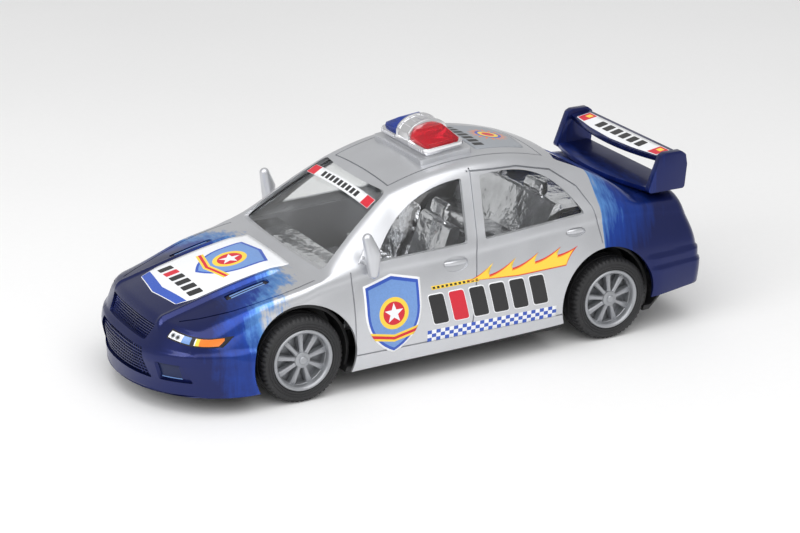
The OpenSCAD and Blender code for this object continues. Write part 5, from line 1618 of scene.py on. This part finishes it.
class TOYCAR_OT_stickers(bpy.types.Operator):
    """Plain stickers: shields, bars, checks and flames, with no lettering"""

    bl_idname = "toycar.stickers"
    bl_label = "Stickers"

    LIFT = 0.08 * MM
    SPACING = 1.8

    def execute(self, context):
        skin = kit["skin"]
        self.f = kit["finish"]
        for side, name in ((1, "left"), (-1, "right")):
            def on_side(u, v, side=side):
                return skin.on_side(u, v, side)

            self.put(f"door_shield_{name}", self.shield(25.5, 30.0, 12.2, 15.8), on_side)
            self.put(f"door_checks_{name}", self.checks(11.0, -47.5, 15.9, 20.6), on_side)
            for i in range(6):
                bar = self.slanted(8.0 - 9.0 * i, 22.8, 6.6, 12.0, 2.6)
                ink = "print_red" if i == 1 else "ink"
                layers = [(self.grown(bar, 0.5), self.f["white"]), (bar, self.f[ink])]
                self.put(f"door_bar_{name}_{i}", layers, on_side)
            self.put(f"door_stripe_{name}", self.dashes(8.5, 36.7, 11), on_side)
            self.put(f"door_flames_{name}", self.flames(), on_side)
        self.put("bonnet_sheet", self.bonnet(), skin.on_top)
        self.put("roof_sheet", self.roof(), skin.on_top)
        self.put("windscreen_strip", self.strip(), skin.on_top)
        self.put("spoiler_sheet", self.blade(), kit["spoiler"].on_top)
        return {"FINISHED"}

    def put(self, name, layers, project):
        fit(laid(name, layers, project, self.LIFT, self.SPACING), "car", "body_paint")

    def grown(self, outline, by):
        middle = sum((Vector(p) for p in outline), Vector((0, 0))) / len(outline)
        return [tuple(Vector(p) + (Vector(p) - middle).normalized() * by) for p in outline]

    def slanted(self, x, z, width, height, lean):
        """Upright bar leaning towards the nose."""
        corners = [(x, z), (x - width, z), (x - width + lean, z + height), (x + lean, z + height)]
        return rounded(corners, 1.2, 3)

    def shield_outline(self, u, v, half, tall):
        """Heater shield; tall is half its height."""
        side, foot = Vector((u + half, v + tall * 0.1)), Vector((u, v - tall))
        belly = Vector((u + half * 0.95, v - tall * 0.65))
        right = [(u + half, v + tall * 0.8)] + [tuple(bend(side, belly, foot, t)) for t in steps(10)]
        left = [(2 * u - a, b) for a, b in right[::-1]]
        crown = [(u - half * 0.5, v + tall * 0.9), (u, v + tall), (u + half * 0.5, v + tall * 0.9)]
        return right + left[1:] + crown

    def shield(self, u, v, half, tall):
        f = self.f
        layers = [(self.shield_outline(u, v, half, tall), f["white"])]
        layers.append((self.shield_outline(u, v, half - 0.9, tall - 0.9), f["print_blue"]))
        layers.append((self.shield_outline(u, v, half - 2.0, tall - 2.2), f["sky_print_and_highlight"]))
        layers.append(([(u + a, v + b + 0.5) for a, b in circle(half * 0.52, 32)], f["yellow"]))
        layers.append(([(u + a, v + b + 0.5) for a, b in circle(half * 0.38, 32)], f["print_red"]))
        star = []
        for k in range(10):
            reach = half * (0.34 if k % 2 == 0 else 0.14)
            turn = math.pi / 2 + math.pi * k / 5
            star.append((u + reach * math.cos(turn), v + 0.5 + reach * math.sin(turn)))
        layers.append((star, f["white"]))
        low = v - tall * 0.52
        ribbon = [(u - half * 1.0, low + 1.2), (u, low - 1.4), (u + half * 1.0, low + 1.2)]
        layers.append((band(ribbon, 3.0), f["yellow"]))
        layers.append((band(ribbon, 1.2), f["print_red"]))
        return layers

    def checks(self, start, end, low, high):
        f = self.f
        layers = [([(start, low), (end, low), (end, high), (start, high)], f["white"])]
        count, rows = 30, 3
        for i in range(count):
            for k in range(rows):
                if (i + k) % 2 == 0:
                    a, b = lerp(start, end, i / count), lerp(start, end, (i + 1) / count)
                    c, d = lerp(low, high, k / rows), lerp(low, high, (k + 1) / rows)
                    a, b, c, d = a - 0.02, b + 0.02, c + 0.02, d - 0.02
                    layers.append(([(a, c), (b, c), (b, d), (a, d)], f["print_blue"]))
        return layers

    def dashes(self, x, z, count):
        """Yellow strip with a row of small dark dashes."""
        long = 1.9 * count
        layers = [([(x, z), (x - long, z), (x - long + 0.3, z + 1.5), (x + 0.3, z + 1.5)], self.f["yellow"])]
        for i in range(count):
            u = x - 0.4 - 1.9 * i
            dash = [(u, z + 0.3), (u - 1.1, z + 0.3), (u - 0.9, z + 1.2), (u + 0.2, z + 1.2)]
            layers.append((dash, self.f["ink"]))
        return layers

    def flame_outline(self, margin):
        """Row of tongues that stream towards the tail, drawn in by a margin."""
        def valley(k):
            return Vector((-6.5 - 10.4 * k - 1.6 * margin * (k == 0), 37.6 + 0.9 * k - margin * (k > 0)))

        points = [valley(0)]
        for k in range(TONGUES):
            start, end = valley(k), valley(k + 1)
            tip = end + Vector((-5.6 - 0.7 * k + 1.7 * margin, 6.6 - 0.1 * k + 0.2 * margin))
            if k == TONGUES - 1:
                tip = Vector((-67.0 + 2.4 * margin, 47.4 - 0.3 * margin))
                end = Vector((-52.0, 36.4 + 0.5 * margin))
            rise = Vector((lerp(start.x, tip.x, 0.42), lerp(start.y, tip.y, 0.12) - 0.4))
            fall = Vector((lerp(tip.x, end.x, 0.75), lerp(tip.y, end.y, 0.28)))
            points += [bend(start, rise, tip, t) for t in steps(9)][1:]
            points += [bend(tip, fall, end, t) for t in steps(9)][1:]
        return [tuple(p) for p in points] + [(-30.0, 35.9 + 0.5 * margin)]

    def flames(self):
        """Yellow flames with a red and orange edge."""
        inks = (("print_red", 0.0), ("orange", 0.5), ("yellow", 1.0))
        return [(self.flame_outline(margin), self.f[ink]) for ink, margin in inks]

    def bonnet(self):
        f = self.f
        half = [(56.5, 19.4), (96.0, 19.4), (103.5, 17.0)]
        sheet = rounded([(x, -y) for x, y in half] + [(106.0, 0)] + half[::-1], 1.0)
        layers = [(sheet, f["white"])]
        chevron = [(99.2, -18.0), (103.2, -16.9), (105.6, 0), (103.2, 16.9), (99.2, 18.0), (101.6, 0)]
        layers.append((chevron, f["print_blue"]))
        for outline, ink in self.shield(0, 0, 13.0, 15.0):
            layers.append(([(73.6 - b, a) for a, b in outline], ink))
        for i in range(6):
            y = -15.8 + 5.6 * i
            bar = rounded([(97.1, y), (97.1, y + 4.0), (91.6, y + 4.6), (91.6, y + 0.6)], 0.6, 3)
            layers.append((bar, f["print_red"] if i == 1 else f["ink"]))
        return layers

    def roof(self):
        f = self.f
        sheet = rounded([(-26.5, -17.5), (-26.5, 17.5), (-50.0, 15.5), (-52.5, 0), (-50.0, -15.5)], 2.0)
        layers = [(sheet, f["grey"])]
        centre = (-42.0, 0.0)
        for i in range(16):
            a = 2 * math.pi * (i + 0.5) / 16
            tip = (centre[0] + 8.6 * math.cos(a), centre[1] + 8.6 * math.sin(a))
            foot = []
            for d in (-0.16, 0.16):
                foot.append((centre[0] + 5.0 * math.cos(a + d), centre[1] + 5.0 * math.sin(a + d)))
            layers.append(([foot[0], tip, foot[1]], f["orange"]))
        layers.append(([(centre[0] + a, centre[1] + b) for a, b in circle(5.4, 36)], f["print_blue"]))
        layers.append(([(centre[0] + a, centre[1] + b) for a, b in circle(4.2, 36)], f["yellow"]))
        layers.append(([(centre[0] + a, centre[1] + b) for a, b in circle(2.6, 30)], f["print_red"]))
        for i in range(7):
            y = -14.2 + 4.1 * i
            bar = [(-28.2, y), (-28.2, y + 3.0), (-32.6, y + 3.4), (-32.6, y + 0.4)]
            layers.append((rounded(bar, 0.5, 3), f["ink"]))
        return layers

    def strip(self):
        f = self.f
        layers = [([(22.6, -25.6), (22.6, 25.6), (26.6, 26.4), (26.6, -26.4)], f["white"])]
        for side in (1, -1):
            corner = [(22.7, 19.6), (22.7, 25.4), (26.5, 26.2), (26.5, 20.0)]
            layers.append(([(x, side * y) for x, y in corner], f["print_red"]))
        for i in range(9):
            y = -15.6 + 3.5 * i
            layers.append(([(23.5, y), (23.5, y + 2.4), (25.8, y + 2.6), (25.8, y + 0.2)], f["ink"]))
        return layers

    def blade(self):
        f = self.f
        half = [(-110.2, 30.5), (-103.6, 30.5), (-101.4, 16.0)]
        sheet = [(-110.2, -30.5)] + half + [(-100.4, 0), (-101.4, -16.0), (-103.6, -30.5)]
        layers = [(rounded(sheet, 0.8), f["white"])]
        for side in (1, -1):
            block = [(-109.9, 24.0), (-109.9, 30.0), (-103.9, 30.0), (-103.2, 24.0)]
            layers.append(([(x, side * y) for x, y in block], f["print_red"]))
            dot = [(-109.0, 25.4), (-109.0, 28.4), (-106.6, 28.4), (-106.6, 25.4)]
            layers.append(([(x, side * y) for x, y in dot], f["yellow"]))
        for i in range(6):
            y = -17.4 + 6.0 * i
            bar = [(-108.6, y), (-108.6, y + 4.4), (-103.6, y + 5.0), (-103.6, y + 0.6)]
            layers.append((rounded(bar, 0.6, 3), f["ink"]))
        return layers


class StageSettings(bpy.types.PropertyGroup):
    """Floor, light and camera."""

    floor: colour("Floor", (0.88, 0.88, 0.88), "Pale floor")
    sky_level: ratio("Sky level", 0.55, "Strength of the light from all round")
    key_level: ratio("Key level", 12.5, "Power of the large soft light, in watts")
    lens: ratio("Lens", 111.15, "Focal length of the camera in millimetres")
    view_from: bpy.props.FloatVectorProperty(
        name="View from", description="Place of the camera", default=(0.4394, 0.8247, 0.3742), unit="LENGTH"
    )
    view_to: bpy.props.FloatVectorProperty(
        name="View to", description="Point the camera looks at", default=(-0.001875, 0, 0.0298), unit="LENGTH"
    )


class TOYCAR_OT_stage(bpy.types.Operator):
    """Floor, soft studio light and the camera"""

    bl_idname = "toycar.stage"
    bl_label = "Stage"

    def execute(self, context):
        s = sizes_of("stage")
        scene = context.scene
        floor = mesh_object("floor", [(-4, -4, 0), (4, -4, 0), (4, 4, 0), (-4, 4, 0)], [(0, 1, 2, 3)])
        floor.data.materials.append(grained("floor", s.floor, 0.0, 0.7, 300, 0.01, 3))
        scene.world = bpy.data.worlds.new("studio")
        scene.world.use_nodes = True
        ground = next(n for n in scene.world.node_tree.nodes if n.type == "BACKGROUND")
        ground.inputs["Color"].default_value = (1, 1, 1, 1)
        ground.inputs["Strength"].default_value = s.sky_level
        self.lamp("key", (0.25, 0.55, 1.0), 1.5, s.key_level)
        self.lamp("front", (1.0, 0.2, 0.6), 0.5, s.key_level * 0.25)
        camera = bpy.data.objects.new("camera", bpy.data.cameras.new("camera"))
        scene.collection.objects.link(camera)
        camera.data.lens = s.lens
        camera.data.sensor_width = 36
        camera.location = s.view_from
        way = Vector(s.view_to) - Vector(s.view_from)
        camera.rotation_euler = way.to_track_quat("-Z", "Y").to_euler()
        scene.camera = camera
        scene.view_settings.view_transform = "Standard"
        return {"FINISHED"}

    def lamp(self, name, place, size, power):
        light = bpy.data.lights.new(name, "AREA")
        light.shape = "SQUARE"
        light.size = size
        light.energy = power
        obj = bpy.data.objects.new(name, light)
        bpy.context.scene.collection.objects.link(obj)
        obj.location = place
        obj.rotation_euler = (-Vector(place)).to_track_quat("-Z", "Y").to_euler()


class TOYCAR_PT_panel(bpy.types.Panel):
    """Lists the steps that build the car"""

    bl_idname = "TOYCAR_PT_panel"
    bl_label = "Toy Police Car"
    bl_space_type = "VIEW_3D"
    bl_region_type = "UI"
    bl_category = "Toy Car"

    def draw(self, context):
        for step in STEPS:
            self.layout.operator(step.bl_idname)


GROUPS = {"body": BodySizes, "paint": PaintColours, "wheels": WheelSizes, "stage": StageSettings}
STEPS = [
    TOYCAR_OT_body,
    TOYCAR_OT_glazing,
    TOYCAR_OT_cabin,
    TOYCAR_OT_mirrors,
    TOYCAR_OT_lightbar,
    TOYCAR_OT_spoiler,
    TOYCAR_OT_wheels,
    TOYCAR_OT_chassis,
    TOYCAR_OT_mechanism,
    TOYCAR_OT_trim,
    TOYCAR_OT_stickers,
    TOYCAR_OT_stage,
]


def register():
    for name, group in GROUPS.items():
        bpy.utils.register_class(group)
        setattr(bpy.types.Scene, "toycar_" + name, bpy.props.PointerProperty(type=group))
    for cls in (*STEPS, TOYCAR_PT_panel):
        bpy.utils.register_class(cls)


def unregister():
    for cls in (TOYCAR_PT_panel, *reversed(STEPS)):
        bpy.utils.unregister_class(cls)
    for name, group in GROUPS.items():
        delattr(bpy.types.Scene, "toycar_" + name)
        bpy.utils.unregister_class(group)


def main():
    register()
    for step in STEPS:
        module, name = step.bl_idname.split(".")
        getattr(getattr(bpy.ops, module), name)()


if __name__ == "__main__":
    main()
